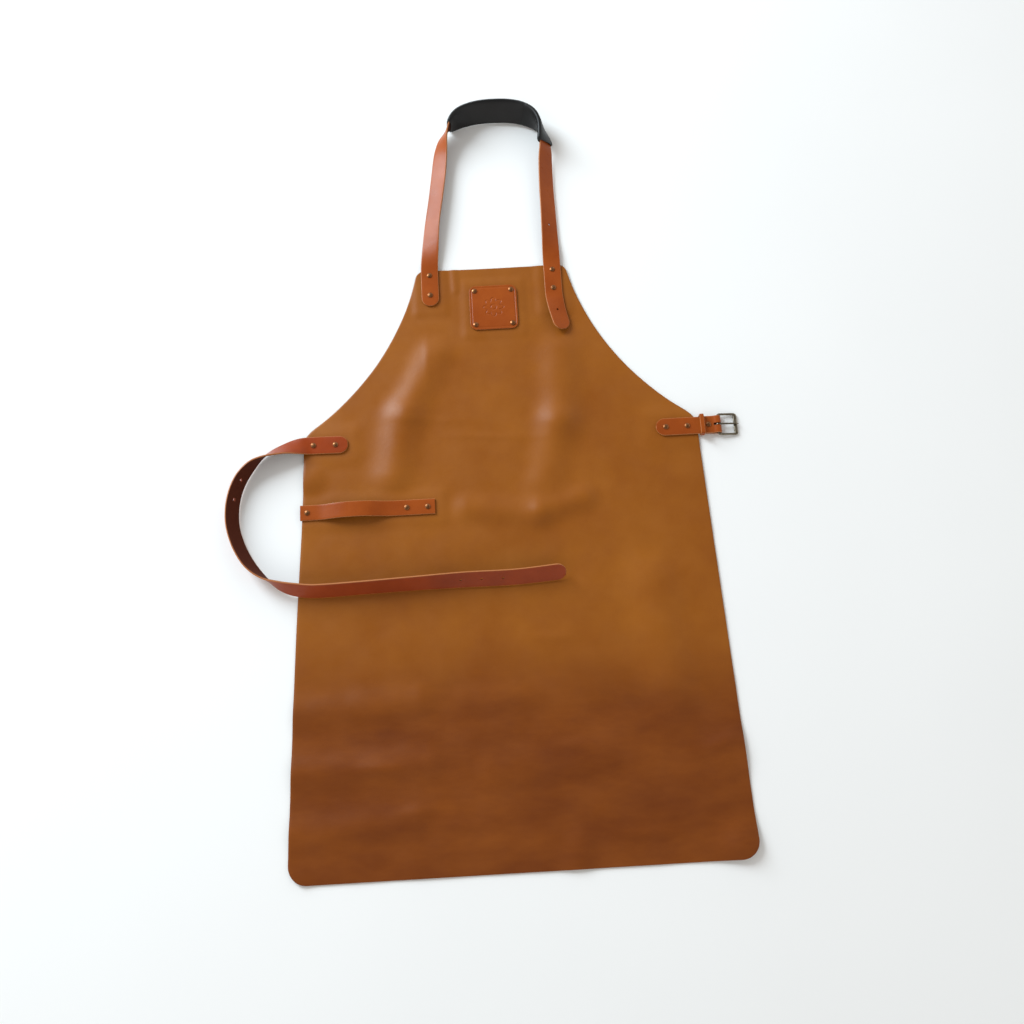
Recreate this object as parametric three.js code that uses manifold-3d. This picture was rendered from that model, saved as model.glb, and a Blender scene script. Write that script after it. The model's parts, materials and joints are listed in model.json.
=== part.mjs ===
// A leather bib apron lying face up: one panel with a patch, straps, a buckle and rivets.
// Millimetres. +Z points up from the surface that it lies on, +Y towards the bib and +X to its right.
// The origin is the middle of the panel's back.
import * as THREE from 'three';
import { mergeVertices } from 'three/addons/utils/BufferGeometryUtils.js';
import Module from 'manifold-3d';

const wasm = await Module();
wasm.setup();

// Driving dimensions

const CLEARANCE = 0.3;
const RAD = Math.PI / 180;
const UP = new THREE.Vector3(0, 0, 1);
const MERGE_DISTANCE = 1e-4;
// Cutters run well past what they cut.
const CUT_EXTRA = 8;
const CUT_SPAN = 40;

const PANEL_LENGTH = 850;
const PANEL_THICKNESS = 1.8;
const HEM_WIDTH = 602;
const WAIST_WIDTH = 561;
const WAIST_Y = 160;
const HEM_CORNER = 26;
const BIB_CORNER = 11;
const WAIST_CORNER = 9;
const PANEL_CELLS = { across: 23, skirt: 25, waist: 4, waistLength: 28, bib: 12 };
const HEM_TURNS = [0, 25, 48, 70];
const BIB_TURNS = [60, 30, 0];
const HEM_Y = -PANEL_LENGTH / 2;
const BIB_Y = PANEL_LENGTH / 2;
// Each armhole is one arc whose middle lies outside the panel.
const ARMHOLE = { x: 497, y: 506, radius: 395.4 };
// The left edge lies drawn in a little, most of all beside the tool strap.
const LEFT_DRAW = { y: 80, depth: 3.5, spread: 90 };

const STRAP_WIDTH = 25.4;
const STRAP_THICKNESS = 2.6;
const STRAP_STEP = 11;
const STRAP_TIP_TURNS = [14, 38, 64];
const STRAP_LENGTH_PARTS = 600;
const PUNCH = { radius: 1.6, sides: 8 };
const NECK_X = 91;

const SLEEVE_WIDTH = 36;
const SLEEVE_EDGE = 1.5;
const SLEEVE_WALL = 1.5;
const SLEEVE_ROOM = 1.7;

const PATCH = { x: 1, y: 360, size: 70, thickness: 2, corner: 10, rivetInset: 8 };

const TOOL_STRAP = { y: 62, width: 22, thickness: 2.2, left: -283, right: -96 };
// The tool strap's loop: where it leaves the panel, where its crest is and how gently it bends.
const TOOL_LOOP = { start: -264, crest: -206, end: -146, height: 9.5, riseEase: 23, fallEase: 30, steps: 8 };

const BUCKLE_Y = 159.5;
const BUCKLE_STRAP_END = 221.5;
const HEEL_X = 310;
const HEEL_RADIUS = 1.5;
// The strap's end is folded back under itself round the buckle's heel bar.
const FOLD_LAP = { from: 282, to: 291, end: 290.6, lift: 1.6, pinch: 301, ease: 4, steps: 6 };
// The slot lets the prong swing back over the strap.
const PRONG_SLOT = { width: 3.6, back: 6.6 };
const KEEPER = { x: 283.4, width: 6, thickness: 1.8, corner: 2.1, room: 4.8 };
const FRAME = { reach: 25.5, halfWidth: 14.9, wire: 1.6, endBar: 2.7, corner: 3.2, sides: 8, turns: [0, 30, 60, 90] };
const PRONG = { width: 2.4, ring: 3.5, underside: 1.95, tip: 29.3, taper: 4 };

const RIVET = {
  cap: 3.7, dome: 1.6, shoulder: 0.72, shank: 1.4, back: 4.2, backThickness: 1, sides: 8,
};
const HOLE_RADIUS = RIVET.shank + CLEARANCE;

// Where something is riveted on, the panel lies level, just high enough for the rivets' backs.
const RIVET_LIFT = 0.2;
const SEAT_LIFT = RIVET.backThickness + CLEARANCE + RIVET_LIFT;
const SEAT_TOP = SEAT_LIFT + PANEL_THICKNESS + CLEARANCE;
const SEATS = [
  { name: 'neck left', x: -NECK_X, y: 398, halfX: 18, halfY: 38, fade: 14 },
  { name: 'neck right', x: NECK_X, y: 394, halfX: 18, halfY: 42, fade: 14 },
  { name: 'patch', x: PATCH.x, y: PATCH.y, halfX: 39, halfY: 39, fade: 14 },
  { name: 'waist', x: -252, y: 159.5, halfX: 42, halfY: 17, fade: 22 },
  { name: 'buckle', x: 252, y: BUCKLE_Y, halfX: 40, halfY: 17, fade: 24 },
  { name: 'tool', x: -190, y: TOOL_STRAP.y, halfX: 100, halfY: 15, fade: 18 },
];

// Soft folds: each is a ridge along a line, with its height and how far it spreads to each side.
const FOLDS = [
  { name: 'left chest, upper', x0: -88, y0: 290, x1: -128, y1: 212, height: 6.5, spread: 19 },
  { name: 'left chest, lower', x0: -138, y0: 190, x1: -152, y1: 112, height: 7.5, spread: 20 },
  { name: 'right chest', x0: 94, y0: 285, x1: 88, y1: 190, height: 7.5, spread: 22 },
  { name: 'right chest, lower', x0: 83, y0: 170, x1: 60, y1: 94, height: 6, spread: 20 },
  { name: 'belly rim', x0: -50, y0: 57, x1: 40, y1: 46, height: 5, spread: 15 },
  { name: 'belly rim, right', x0: 56, y0: 47, x1: 112, y1: 64, height: 6, spread: 14 },
  { name: 'bib pleat', x0: -56, y0: 432, x1: -54, y1: 392, height: 2.6, spread: 6 },
  { name: 'left edge', x0: -288, y0: 118, x1: -272, y1: 110, height: 6, spread: 16 },
  { name: 'skirt left, first', x0: -300, y0: -212, x1: -130, y1: -204, height: 4.5, spread: 18 },
  { name: 'skirt left, second', x0: -300, y0: -288, x1: -120, y1: -284, height: 5, spread: 17 },
  { name: 'skirt left, third', x0: -300, y0: -364, x1: -140, y1: -352, height: 4.5, spread: 17 },
  { name: 'skirt middle', x0: -60, y0: -206, x1: 110, y1: -200, height: 3, spread: 18 },
  { name: 'skirt middle, low', x0: -30, y0: -300, x1: 110, y1: -286, height: 3.5, spread: 20 },
  { name: 'skirt right', x0: 196, y0: -60, x1: 214, y1: -220, height: 6, spread: 26 },
  { name: 'right edge', x0: 300, y0: -290, x1: 282, y1: -286, height: 5, spread: 24 },
  { name: 'hem wave', x0: 66, y0: -430, x1: 74, y1: -392, height: 4, spread: 16 },
  { name: 'hem corner', x0: 304, y0: -428, x1: 284, y1: -410, height: 9, spread: 24 },
  { name: 'hem left', x0: -304, y0: -428, x1: -290, y1: -420, height: 3.5, spread: 18 },
];
const FOLD_FLOOR = 0.5;
const FOLD_SOFTNESS = 1.5;

// The straps' ways, by the middle of the strap. low is its lower edge's height, and bank how far it is
// turned about its own line: 0 is flat with its grain side up.
const NECK_STATIONS = [
  { x: -NECK_X, y: 367, low: SEAT_TOP, bank: 0 },
  { x: -NECK_X, y: 388, low: SEAT_TOP, bank: 0 },
  { x: -NECK_X, y: 409, low: SEAT_TOP, bank: 0 },
  { x: -90.6, y: 430, low: SEAT_TOP, bank: 1 },
  { x: -88.2, y: 458, low: 1.8, bank: 14 },
  { x: -83.6, y: 501, low: 0.8, bank: 28 },
  { x: -76.6, y: 545, low: 0.8, bank: 29 },
  { x: -71.2, y: 582, low: 0.8, bank: 28 },
  { x: -68, y: 608, low: 1.2, bank: 32 },
  { x: -65, y: 627, low: 2.4, bank: 41 },
  { x: -60, y: 645, low: 4.4, bank: 60 },
  { x: -50, y: 662, low: 6, bank: 86 },
  { x: -34, y: 675, low: 6, bank: 108 },
  { x: -8, y: 683.5, low: 5.8, bank: 121 },
  { x: 24, y: 685.5, low: 5.6, bank: 126 },
  { x: 52, y: 681.5, low: 5.8, bank: 122 },
  { x: 73, y: 671, low: 6, bank: 108 },
  { x: 86, y: 656, low: 6, bank: 86 },
  { x: 92.5, y: 638, low: 5.4, bank: 62 },
  { x: 94, y: 618, low: 4, bank: 46 },
  { x: 92.6, y: 596, low: 1.8, bank: 37 },
  { x: 91.4, y: 553, low: 0.8, bank: 32 },
  { x: 91.4, y: 512, low: 0.8, bank: 27 },
  { x: 91.2, y: 470, low: 1.2, bank: 18 },
  { x: NECK_X, y: 446, low: 3.2, bank: 6 },
  { x: NECK_X, y: 428, low: SEAT_TOP, bank: 0 },
  { x: NECK_X, y: 409, low: SEAT_TOP, bank: 0 },
  { x: NECK_X, y: 390, low: SEAT_TOP, bank: 0 },
  { x: 91.3, y: 374, low: SEAT_TOP, bank: 1 },
  { x: 94, y: 350, low: 4, bank: 12 },
  { x: 101, y: 317, low: 4.4, bank: 20 },
];
// The sleeve covers the strap between two stations, and reaches a little past the first.
const SLEEVE_FROM = 11;
const SLEEVE_TO = 19;
const SLEEVE_REACH = 4;
const WAIST_STATIONS = [
  { x: -215.5, y: 159.3, low: SEAT_TOP, bank: 0 },
  { x: -236, y: 159.6, low: SEAT_TOP, bank: 0 },
  { x: -254, y: 159.9, low: SEAT_TOP, bank: 0 },
  { x: -270, y: 160, low: SEAT_TOP, bank: -1 },
  { x: -284, y: 159, low: SEAT_TOP, bank: -15 },
  { x: -302, y: 155.8, low: 2, bank: -39 },
  { x: -320, y: 150.5, low: 1, bank: -57 },
  { x: -336, y: 143, low: 0.8, bank: -77 },
  { x: -350, y: 132, low: 0.8, bank: -100 },
  { x: -363, y: 115, low: 0.8, bank: -113 },
  { x: -371.5, y: 94, low: 0.8, bank: -117 },
  { x: -375.3, y: 70, low: 0.8, bank: -120 },
  { x: -373.6, y: 44, low: 0.8, bank: -121 },
  { x: -364.5, y: 16, low: 0.8, bank: -121 },
  { x: -350, y: -9, low: 0.8, bank: -117 },
  { x: -331, y: -28, low: 0.8, bank: -100 },
  { x: -310, y: -40, low: 1.6, bank: -73 },
  { x: -287, y: -47, low: 2.6, bank: -57 },
  { x: -258, y: -50.2, low: 2.6, bank: -56 },
  { x: -200, y: -49, low: 2.6, bank: -57 },
  { x: -130, y: -47, low: 2.6, bank: -54 },
  { x: -60, y: -45.5, low: 2.6, bank: -46 },
  { x: 10, y: -45.5, low: 2.6, bank: -45 },
  { x: 79, y: -41, low: 2.6, bank: -42 },
];
// Punched holes, by their distance from the end that each strap's last station is at.
const NECK_HOLES = [33, 174];
const WAIST_HOLES = [86, 115, 144, 542, 571];

const STRAP_TOP = SEAT_TOP + STRAP_THICKNESS;
const PATCH_TOP = SEAT_TOP + PATCH.thickness;
const TOOL_TOP = SEAT_TOP + TOOL_STRAP.thickness;
const PATCH_REACH = PATCH.size / 2 - PATCH.rivetInset;
const LAP_TOP = FOLD_LAP.lift + 2 * STRAP_THICKNESS + CLEARANCE;
const RIVETS = [
  { name: 'rivet_neck_left_upper', x: -NECK_X, y: 416, base: SEAT_LIFT, top: STRAP_TOP },
  { name: 'rivet_neck_left_lower', x: -NECK_X, y: 384, base: SEAT_LIFT, top: STRAP_TOP },
  { name: 'rivet_neck_right_upper', x: NECK_X, y: 416, base: SEAT_LIFT, top: STRAP_TOP },
  { name: 'rivet_neck_right_lower', x: NECK_X, y: 386, base: SEAT_LIFT, top: STRAP_TOP },
  { name: 'rivet_waist_outer', x: -264, y: 160, base: SEAT_LIFT, top: STRAP_TOP },
  { name: 'rivet_waist_inner', x: -233, y: 159.6, base: SEAT_LIFT, top: STRAP_TOP },
  { name: 'rivet_tool_outer', x: -273.5, y: TOOL_STRAP.y, base: SEAT_LIFT, top: TOOL_TOP },
  { name: 'rivet_tool_middle', x: -135, y: TOOL_STRAP.y, base: SEAT_LIFT, top: TOOL_TOP },
  { name: 'rivet_tool_inner', x: -106, y: TOOL_STRAP.y, base: SEAT_LIFT, top: TOOL_TOP },
  { name: 'rivet_buckle_inner', x: 235.5, y: BUCKLE_Y, base: SEAT_LIFT, top: STRAP_TOP },
  { name: 'rivet_buckle_middle', x: 266, y: BUCKLE_Y, base: SEAT_LIFT, top: STRAP_TOP },
  { name: 'rivet_buckle_lap', x: 296, y: BUCKLE_Y, base: FOLD_LAP.lift, top: LAP_TOP },
];
for (const [side, alongX] of [['left', -1], ['right', 1]]) {
  for (const [level, alongY] of [['upper', 1], ['lower', -1]]) {
    RIVETS.push({
      name: `rivet_patch_${level}_${side}`,
      x: PATCH.x + alongX * PATCH_REACH,
      y: PATCH.y + alongY * PATCH_REACH,
      base: SEAT_LIFT,
      top: PATCH_TOP,
    });
  }
}

const FINISHES = {
  panelLeather: { color: 0x9a5a28, roughness: 0.5, metalness: 0 },
  strapLeather: { color: 0x9c5430, roughness: 0.42, metalness: 0 },
  blackLeather: { color: 0x282723, roughness: 0.4, metalness: 0 },
  antiqueNickel: { color: 0x6b6252, roughness: 0.38, metalness: 1 },
  antiqueBrass: { color: 0x8a5f3c, roughness: 0.35, metalness: 1 },
};

// Closed meshes, cuts and joins

function closedGeometry(points, triangles) {
  const geometry = new THREE.BufferGeometry();
  geometry.setAttribute('position', new THREE.Float32BufferAttribute(points.flat(), 3));
  geometry.setIndex(triangles.flat());
  return geometry;
}

function solid(geometry) {
  const bare = geometry.clone();
  bare.deleteAttribute('normal');
  bare.deleteAttribute('uv');
  const merged = mergeVertices(bare, MERGE_DISTANCE);
  return new wasm.Manifold(new wasm.Mesh({
    numProp: 3,
    vertProperties: new Float32Array(merged.attributes.position.array),
    triVerts: new Uint32Array(merged.index.array),
  }));
}

function geometryOf(manifold) {
  const mesh = manifold.getMesh();
  const geometry = new THREE.BufferGeometry();
  geometry.setAttribute('position', new THREE.Float32BufferAttribute(mesh.vertProperties, 3));
  geometry.setIndex(Array.from(mesh.triVerts));
  return geometry;
}

// A round cutter through a point, along a direction.
function cutter(point, direction, radius, length, sides) {
  const geometry = new THREE.CylinderGeometry(radius, radius, length, sides);
  const turn = new THREE.Quaternion().setFromUnitVectors(new THREE.Vector3(0, 1, 0), direction);
  geometry.applyQuaternion(turn);
  geometry.translate(point.x, point.y, point.z);
  return solid(geometry);
}

// Takes the rivets' holes out of a piece, for the rivets whose names start with one of the words.
function withRivetHoles(geometry, words) {
  let body = solid(geometry);
  for (const rivet of RIVETS.filter(({ name }) => words.some((word) => name.startsWith(word)))) {
    const middle = new THREE.Vector3(rivet.x, rivet.y, (rivet.base + rivet.top) / 2);
    const length = rivet.top - rivet.base + CUT_EXTRA;
    body = body.subtract(cutter(middle, UP, HOLE_RADIUS, length, RIVET.sides));
  }
  return body;
}

// Rings of points, one after the other, joined by a skin. An open row of rings gets two end faces.
function skin(rings, closed = false) {
  const sides = rings[0].length;
  const triangles = [];
  const last = closed ? rings.length : rings.length - 1;
  for (let i = 0; i < last; i += 1) {
    const here = i * sides;
    const next = ((i + 1) % rings.length) * sides;
    for (let j = 0; j < sides; j += 1) {
      const k = (j + 1) % sides;
      triangles.push([here + j, here + k, next + k], [here + j, next + k, next + j]);
    }
  }
  if (!closed) {
    const end = (rings.length - 1) * sides;
    for (let j = 1; j < sides - 1; j += 1) {
      triangles.push([0, j + 1, j], [end, end + j, end + j + 1]);
    }
  }
  return closedGeometry(rings.flat(), triangles);
}

// The panel

function cornerInset(distance, radius) {
  if (distance >= radius) return 0;
  return radius - Math.sqrt(radius ** 2 - (radius - distance) ** 2);
}

function softLower(a, b, round) {
  const h = Math.max(round - Math.abs(a - b), 0) / round;
  return Math.min(a, b) - h * h * round / 4;
}

// Half the panel's width at a height along it.
function halfWidth(y) {
  const flare = (HEM_WIDTH - WAIST_WIDTH) / 2 / (WAIST_Y - HEM_Y);
  const side = WAIST_WIDTH / 2 + (WAIST_Y - y) * flare;
  const along = y - ARMHOLE.y;
  const inside = ARMHOLE.radius ** 2 - along ** 2;
  const armhole = inside > 0 ? ARMHOLE.x - Math.sqrt(inside) : ARMHOLE.x;
  const inset = cornerInset(y - HEM_Y, HEM_CORNER) + cornerInset(BIB_Y - y, BIB_CORNER);
  return softLower(side, armhole, 2 * WAIST_CORNER) - inset;
}

function leftEdge(y) {
  const { y: middle, depth, spread } = LEFT_DRAW;
  return depth * Math.exp(-((y - middle) ** 2) / (2 * spread ** 2)) - halfWidth(y);
}

function ridge({ x0, y0, x1, y1, height, spread }, x, y) {
  const [dx, dy] = [x1 - x0, y1 - y0];
  const share = THREE.MathUtils.clamp(((x - x0) * dx + (y - y0) * dy) / (dx * dx + dy * dy), 0, 1);
  const away = Math.hypot(x - x0 - share * dx, y - y0 - share * dy);
  return height * Math.exp(-(away ** 2) / (2 * spread ** 2));
}

function seatShare({ x: middleX, y: middleY, halfX, halfY, fade }, x, y) {
  const outX = Math.max(Math.abs(x - middleX) - halfX, 0);
  const outY = Math.max(Math.abs(y - middleY) - halfY, 0);
  return 1 - THREE.MathUtils.smoothstep(Math.hypot(outX, outY), 0, fade);
}

// How high the panel's back lies above the floor.
function backHeight(x, y) {
  const raised = FOLDS.reduce((sum, fold) => sum + ridge(fold, x, y), -FOLD_FLOOR);
  const fold = raised > 0 ? raised ** 2 / (raised + FOLD_SOFTNESS) : 0;
  const seat = SEATS.reduce((most, place) => Math.max(most, seatShare(place, x, y)), 0);
  return THREE.MathUtils.lerp(fold, SEAT_LIFT, seat);
}

function evenly(from, to, count) {
  return Array.from({ length: count }, (_, i) => THREE.MathUtils.lerp(from, to, i / count));
}

function panelRows() {
  const { skirt, waist, waistLength, bib } = PANEL_CELLS;
  const hemRows = HEM_TURNS.map((a) => HEM_Y + HEM_CORNER * (1 - Math.cos(a * RAD)));
  const bibRows = BIB_TURNS.map((a) => BIB_Y - BIB_CORNER * (1 - Math.cos(a * RAD)));
  return [
    ...hemRows,
    ...evenly(HEM_Y + HEM_CORNER, WAIST_Y, skirt),
    ...evenly(WAIST_Y, WAIST_Y + waistLength, waist),
    ...evenly(WAIST_Y + waistLength, BIB_Y - BIB_CORNER, bib),
    ...bibRows,
  ];
}

function apronPanel() {
  const rows = panelRows();
  const { across } = PANEL_CELLS;
  const points = [];
  for (const lift of [0, PANEL_THICKNESS]) {
    for (const y of rows) {
      for (let i = 0; i <= across; i += 1) {
        const x = THREE.MathUtils.lerp(leftEdge(y), halfWidth(y), i / across);
        points.push([x, y, backHeight(x, y) + lift]);
      }
    }
  }
  const layer = rows.length * (across + 1);
  const back = (row, column) => row * (across + 1) + column;
  const front = (row, column) => layer + back(row, column);
  const triangles = [];
  const quad = (a, b, c, d) => triangles.push([a, b, c], [a, c, d]);
  for (let r = 0; r < rows.length - 1; r += 1) {
    for (let i = 0; i < across; i += 1) {
      quad(front(r, i), front(r, i + 1), front(r + 1, i + 1), front(r + 1, i));
      quad(back(r, i), back(r + 1, i), back(r + 1, i + 1), back(r, i + 1));
    }
    quad(back(r, 0), front(r, 0), front(r + 1, 0), back(r + 1, 0));
    quad(back(r, across), back(r + 1, across), front(r + 1, across), front(r, across));
  }
  const top = rows.length - 1;
  for (let i = 0; i < across; i += 1) {
    quad(back(0, i), back(0, i + 1), front(0, i + 1), front(0, i));
    quad(back(top, i), front(top, i), front(top, i + 1), back(top, i + 1));
  }
  return geometryOf(withRivetHoles(closedGeometry(points, triangles), ['rivet']));
}

// Straps that twist along their way

function strapWay(stations) {
  const middles = stations.map(({ x, y, low, bank }) => {
    const rise = STRAP_WIDTH / 2 * Math.abs(Math.sin(bank * RAD));
    const half = STRAP_THICKNESS / 2 * Math.abs(Math.cos(bank * RAD));
    return new THREE.Vector3(x, y, low + rise + half);
  });
  const line = new THREE.CatmullRomCurve3(middles, false, 'catmullrom');
  const turns = stations.map(({ bank }) => new THREE.Vector3(bank, 0, 0));
  const banks = new THREE.CatmullRomCurve3(turns, false, 'catmullrom');
  line.arcLengthDivisions = STRAP_LENGTH_PARTS;
  const length = line.getLength();
  // The strap's middle, its direction across and its grain side's normal, at a distance along it.
  const at = (distance) => {
    const t = line.getUtoTmapping(0, THREE.MathUtils.clamp(distance, 0, length));
    const bank = banks.getPoint(t).x * RAD;
    const ahead = line.getTangent(t);
    const level = new THREE.Vector3().crossVectors(ahead, UP).normalize();
    const above = new THREE.Vector3().crossVectors(level, ahead);
    const across = level.clone().multiplyScalar(Math.cos(bank)).addScaledVector(above, Math.sin(bank));
    const normal = above.clone().multiplyScalar(Math.cos(bank)).addScaledVector(level, -Math.sin(bank));
    return { middle: line.getPoint(t), across, normal };
  };
  const distanceTo = (station) => {
    const lengths = line.getLengths();
    return lengths[Math.round(station / (stations.length - 1) * (lengths.length - 1))];
  };
  return { length, at, distanceTo };
}

function ringAt({ middle, across, normal }, corners) {
  return corners.map(([a, b]) => {
    const corner = middle.clone().addScaledVector(across, a).addScaledVector(normal, b);
    return corner.toArray();
  });
}

// The places of a strap's sections, each with its distance along the way and half its width there.
function strapPlaces(way) {
  const half = STRAP_WIDTH / 2;
  const tip = STRAP_TIP_TURNS.map((a) => [half * (1 - Math.cos(a * RAD)), half * Math.sin(a * RAD)]);
  const steps = Math.round((way.length - 2 * half) / STRAP_STEP);
  return [
    ...tip,
    ...evenly(half, way.length - half, steps).map((s) => [s, half]),
    [way.length - half, half],
    ...tip.map(([s, reach]) => [way.length - s, reach]).reverse(),
  ];
}

// A strap with round ends along its way.
function strap(way) {
  const deep = STRAP_THICKNESS / 2;
  const corners = (reach) => [-reach, 0, reach].map((a) => [a, -deep])
    .concat([reach, 0, -reach].map((a) => [a, deep]));
  return skin(strapPlaces(way).map(([s, reach]) => ringAt(way.at(s), corners(reach)).reverse()));
}

function punched(body, way, holes) {
  let left = body;
  for (const fromTip of holes) {
    const { middle, normal } = way.at(way.length - fromTip);
    left = left.subtract(cutter(middle, normal, PUNCH.radius, CUT_EXTRA, PUNCH.sides));
  }
  return left;
}

const neckWay = strapWay(NECK_STATIONS);
const waistWay = strapWay(WAIST_STATIONS);

function neckStrap() {
  return geometryOf(punched(withRivetHoles(strap(neckWay), ['rivet_neck']), neckWay, NECK_HOLES));
}

function waistStrap() {
  return geometryOf(punched(withRivetHoles(strap(waistWay), ['rivet_waist']), waistWay, WAIST_HOLES));
}

// A flattened tube round the neck strap, open at both ends.
function neckSleeve() {
  const from = neckWay.distanceTo(SLEEVE_FROM) - SLEEVE_REACH;
  const to = neckWay.distanceTo(SLEEVE_TO);
  const flat = (wide, edge, shoulder, deep) => [
    [-wide, -edge], [-shoulder, -deep], [shoulder, -deep], [wide, -edge],
    [wide, edge], [shoulder, deep], [-shoulder, deep], [-wide, edge],
  ];
  const roomHalf = STRAP_WIDTH / 2 + SLEEVE_ROOM;
  const roomDeep = STRAP_THICKNESS / 2 + SLEEVE_ROOM;
  const inner = flat(roomHalf, roomDeep - CLEARANCE, STRAP_WIDTH / 3, roomDeep);
  const outer = flat(SLEEVE_WIDTH / 2, SLEEVE_EDGE, roomHalf, roomDeep + SLEEVE_WALL);
  const steps = strapPlaces(neckWay).map(([s]) => s).filter((s) => s > from && s < to);
  const outside = steps.map((s) => ringAt(neckWay.at(s), outer).reverse());
  const inside = steps.map((s) => ringAt(neckWay.at(s), inner).reverse());
  return skin([...outside, ...inside.reverse()], true);
}

// Pieces cut from flat outlines

function roundedRectangle(width, height, radius) {
  const [a, b] = [width / 2 - radius, height / 2 - radius];
  const shape = new THREE.Shape();
  shape.absarc(a, b, radius, 0, Math.PI / 2);
  shape.absarc(-a, b, radius, Math.PI / 2, Math.PI);
  shape.absarc(-a, -b, radius, Math.PI, 1.5 * Math.PI);
  shape.absarc(a, -b, radius, 1.5 * Math.PI, 2 * Math.PI);
  return shape;
}

function patch() {
  const outline = roundedRectangle(PATCH.size, PATCH.size, PATCH.corner);
  const geometry = new THREE.ExtrudeGeometry(outline, {
    depth: PATCH.thickness, bevelEnabled: false, curveSegments: 5,
  });
  geometry.translate(PATCH.x, PATCH.y, SEAT_TOP);
  return geometryOf(withRivetHoles(geometry, ['rivet_patch']));
}

// A band of even thickness along a way in the X and Z plane, with its width along Y.
function band(way, steps, thickness, width, y) {
  const apart = (p, i, all) => i === 0 || p.distanceTo(all[i - 1]) > MERGE_DISTANCE;
  const places = way.getPoints(steps).filter(apart);
  const side = (reach) => places.map((p, i) => {
    const before = places[Math.max(i - 1, 0)];
    const after = places[Math.min(i + 1, places.length - 1)];
    const ahead = after.clone().sub(before).normalize();
    return new THREE.Vector2(p.x - ahead.y * reach, p.y + ahead.x * reach);
  });
  const outline = new THREE.Shape([...side(-thickness / 2), ...side(thickness / 2).reverse()]);
  const geometry = new THREE.ExtrudeGeometry(outline, { depth: width, bevelEnabled: false });
  geometry.rotateX(Math.PI / 2);
  geometry.translate(0, y + width / 2, 0);
  return geometry;
}

function toolStrap() {
  const { y, width, thickness, left, right } = TOOL_STRAP;
  const { start, crest, end, height, riseEase, fallEase, steps } = TOOL_LOOP;
  const flat = SEAT_TOP + thickness / 2;
  const high = flat + height;
  const way = new THREE.Path();
  way.moveTo(left, flat);
  way.lineTo(start, flat);
  way.bezierCurveTo(start + riseEase, flat, start + riseEase, high, crest, high);
  way.bezierCurveTo(end - fallEase, high, end - fallEase, flat, end, flat);
  way.lineTo(right, flat);
  return geometryOf(withRivetHoles(band(way, steps, thickness, width, y), ['rivet_tool']));
}

const HEEL_Z = HEEL_RADIUS + CLEARANCE + STRAP_THICKNESS + CLEARANCE;

function buckleStrap() {
  const { from, to, end, lift, pinch, ease, steps } = FOLD_LAP;
  const flat = SEAT_TOP + STRAP_THICKNESS / 2;
  const lapLow = lift + STRAP_THICKNESS / 2;
  const lapHigh = lapLow + STRAP_THICKNESS + CLEARANCE;
  const turn = HEEL_RADIUS + CLEARANCE + STRAP_THICKNESS / 2;
  const step = (from + to) / 2;
  const way = new THREE.Path();
  way.moveTo(BUCKLE_STRAP_END, flat);
  way.lineTo(from, flat);
  way.bezierCurveTo(step, flat, step, lapHigh, to, lapHigh);
  way.lineTo(pinch, lapHigh);
  way.bezierCurveTo(pinch + ease, lapHigh, HEEL_X - ease, HEEL_Z + turn, HEEL_X, HEEL_Z + turn);
  way.absarc(HEEL_X, HEEL_Z, turn, Math.PI / 2, -Math.PI / 2, true);
  way.bezierCurveTo(HEEL_X - ease, HEEL_Z - turn, pinch + ease, lapLow, pinch, lapLow);
  way.lineTo(end, lapLow);
  const folded = withRivetHoles(band(way, steps, STRAP_THICKNESS, STRAP_WIDTH, BUCKLE_Y), ['rivet_buckle']);

  const half = STRAP_WIDTH / 2;
  const past = HEEL_X + CUT_SPAN / 2;
  const plan = new THREE.Shape();
  plan.absarc(BUCKLE_STRAP_END + half, BUCKLE_Y, half, Math.PI / 2, 1.5 * Math.PI);
  plan.lineTo(past, BUCKLE_Y - half);
  plan.lineTo(past, BUCKLE_Y + half);
  const roundEnd = new THREE.ExtrudeGeometry(plan, {
    depth: CUT_SPAN, bevelEnabled: false, curveSegments: 10,
  });
  roundEnd.translate(0, 0, HEEL_Z - CUT_SPAN / 2);
  const slotStart = HEEL_X - PRONG_SLOT.back;
  const slot = new THREE.BoxGeometry(past - slotStart, PRONG_SLOT.width, CUT_SPAN);
  slot.translate((slotStart + past) / 2, BUCKLE_Y, HEEL_Z);
  return geometryOf(folded.intersect(solid(roundEnd)).subtract(solid(slot)));
}

// A band round the buckle strap, with room above it for the waist strap's end.
function keeper() {
  const wall = KEEPER.thickness;
  const width = STRAP_WIDTH + 2 * CLEARANCE;
  const height = STRAP_THICKNESS + 3 * CLEARANCE + KEEPER.room;
  const outline = roundedRectangle(width + 2 * wall, height + 2 * wall, KEEPER.corner);
  outline.holes.push(roundedRectangle(width, height, KEEPER.corner - wall));
  const geometry = new THREE.ExtrudeGeometry(outline, {
    depth: KEEPER.width, bevelEnabled: false, curveSegments: 3,
  });
  geometry.rotateX(Math.PI / 2);
  geometry.rotateZ(Math.PI / 2);
  geometry.translate(KEEPER.x, BUCKLE_Y, SEAT_TOP - CLEARANCE + height / 2);
  return geometry;
}

// The buckle, about its heel bar: it lies along +X from there

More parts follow.
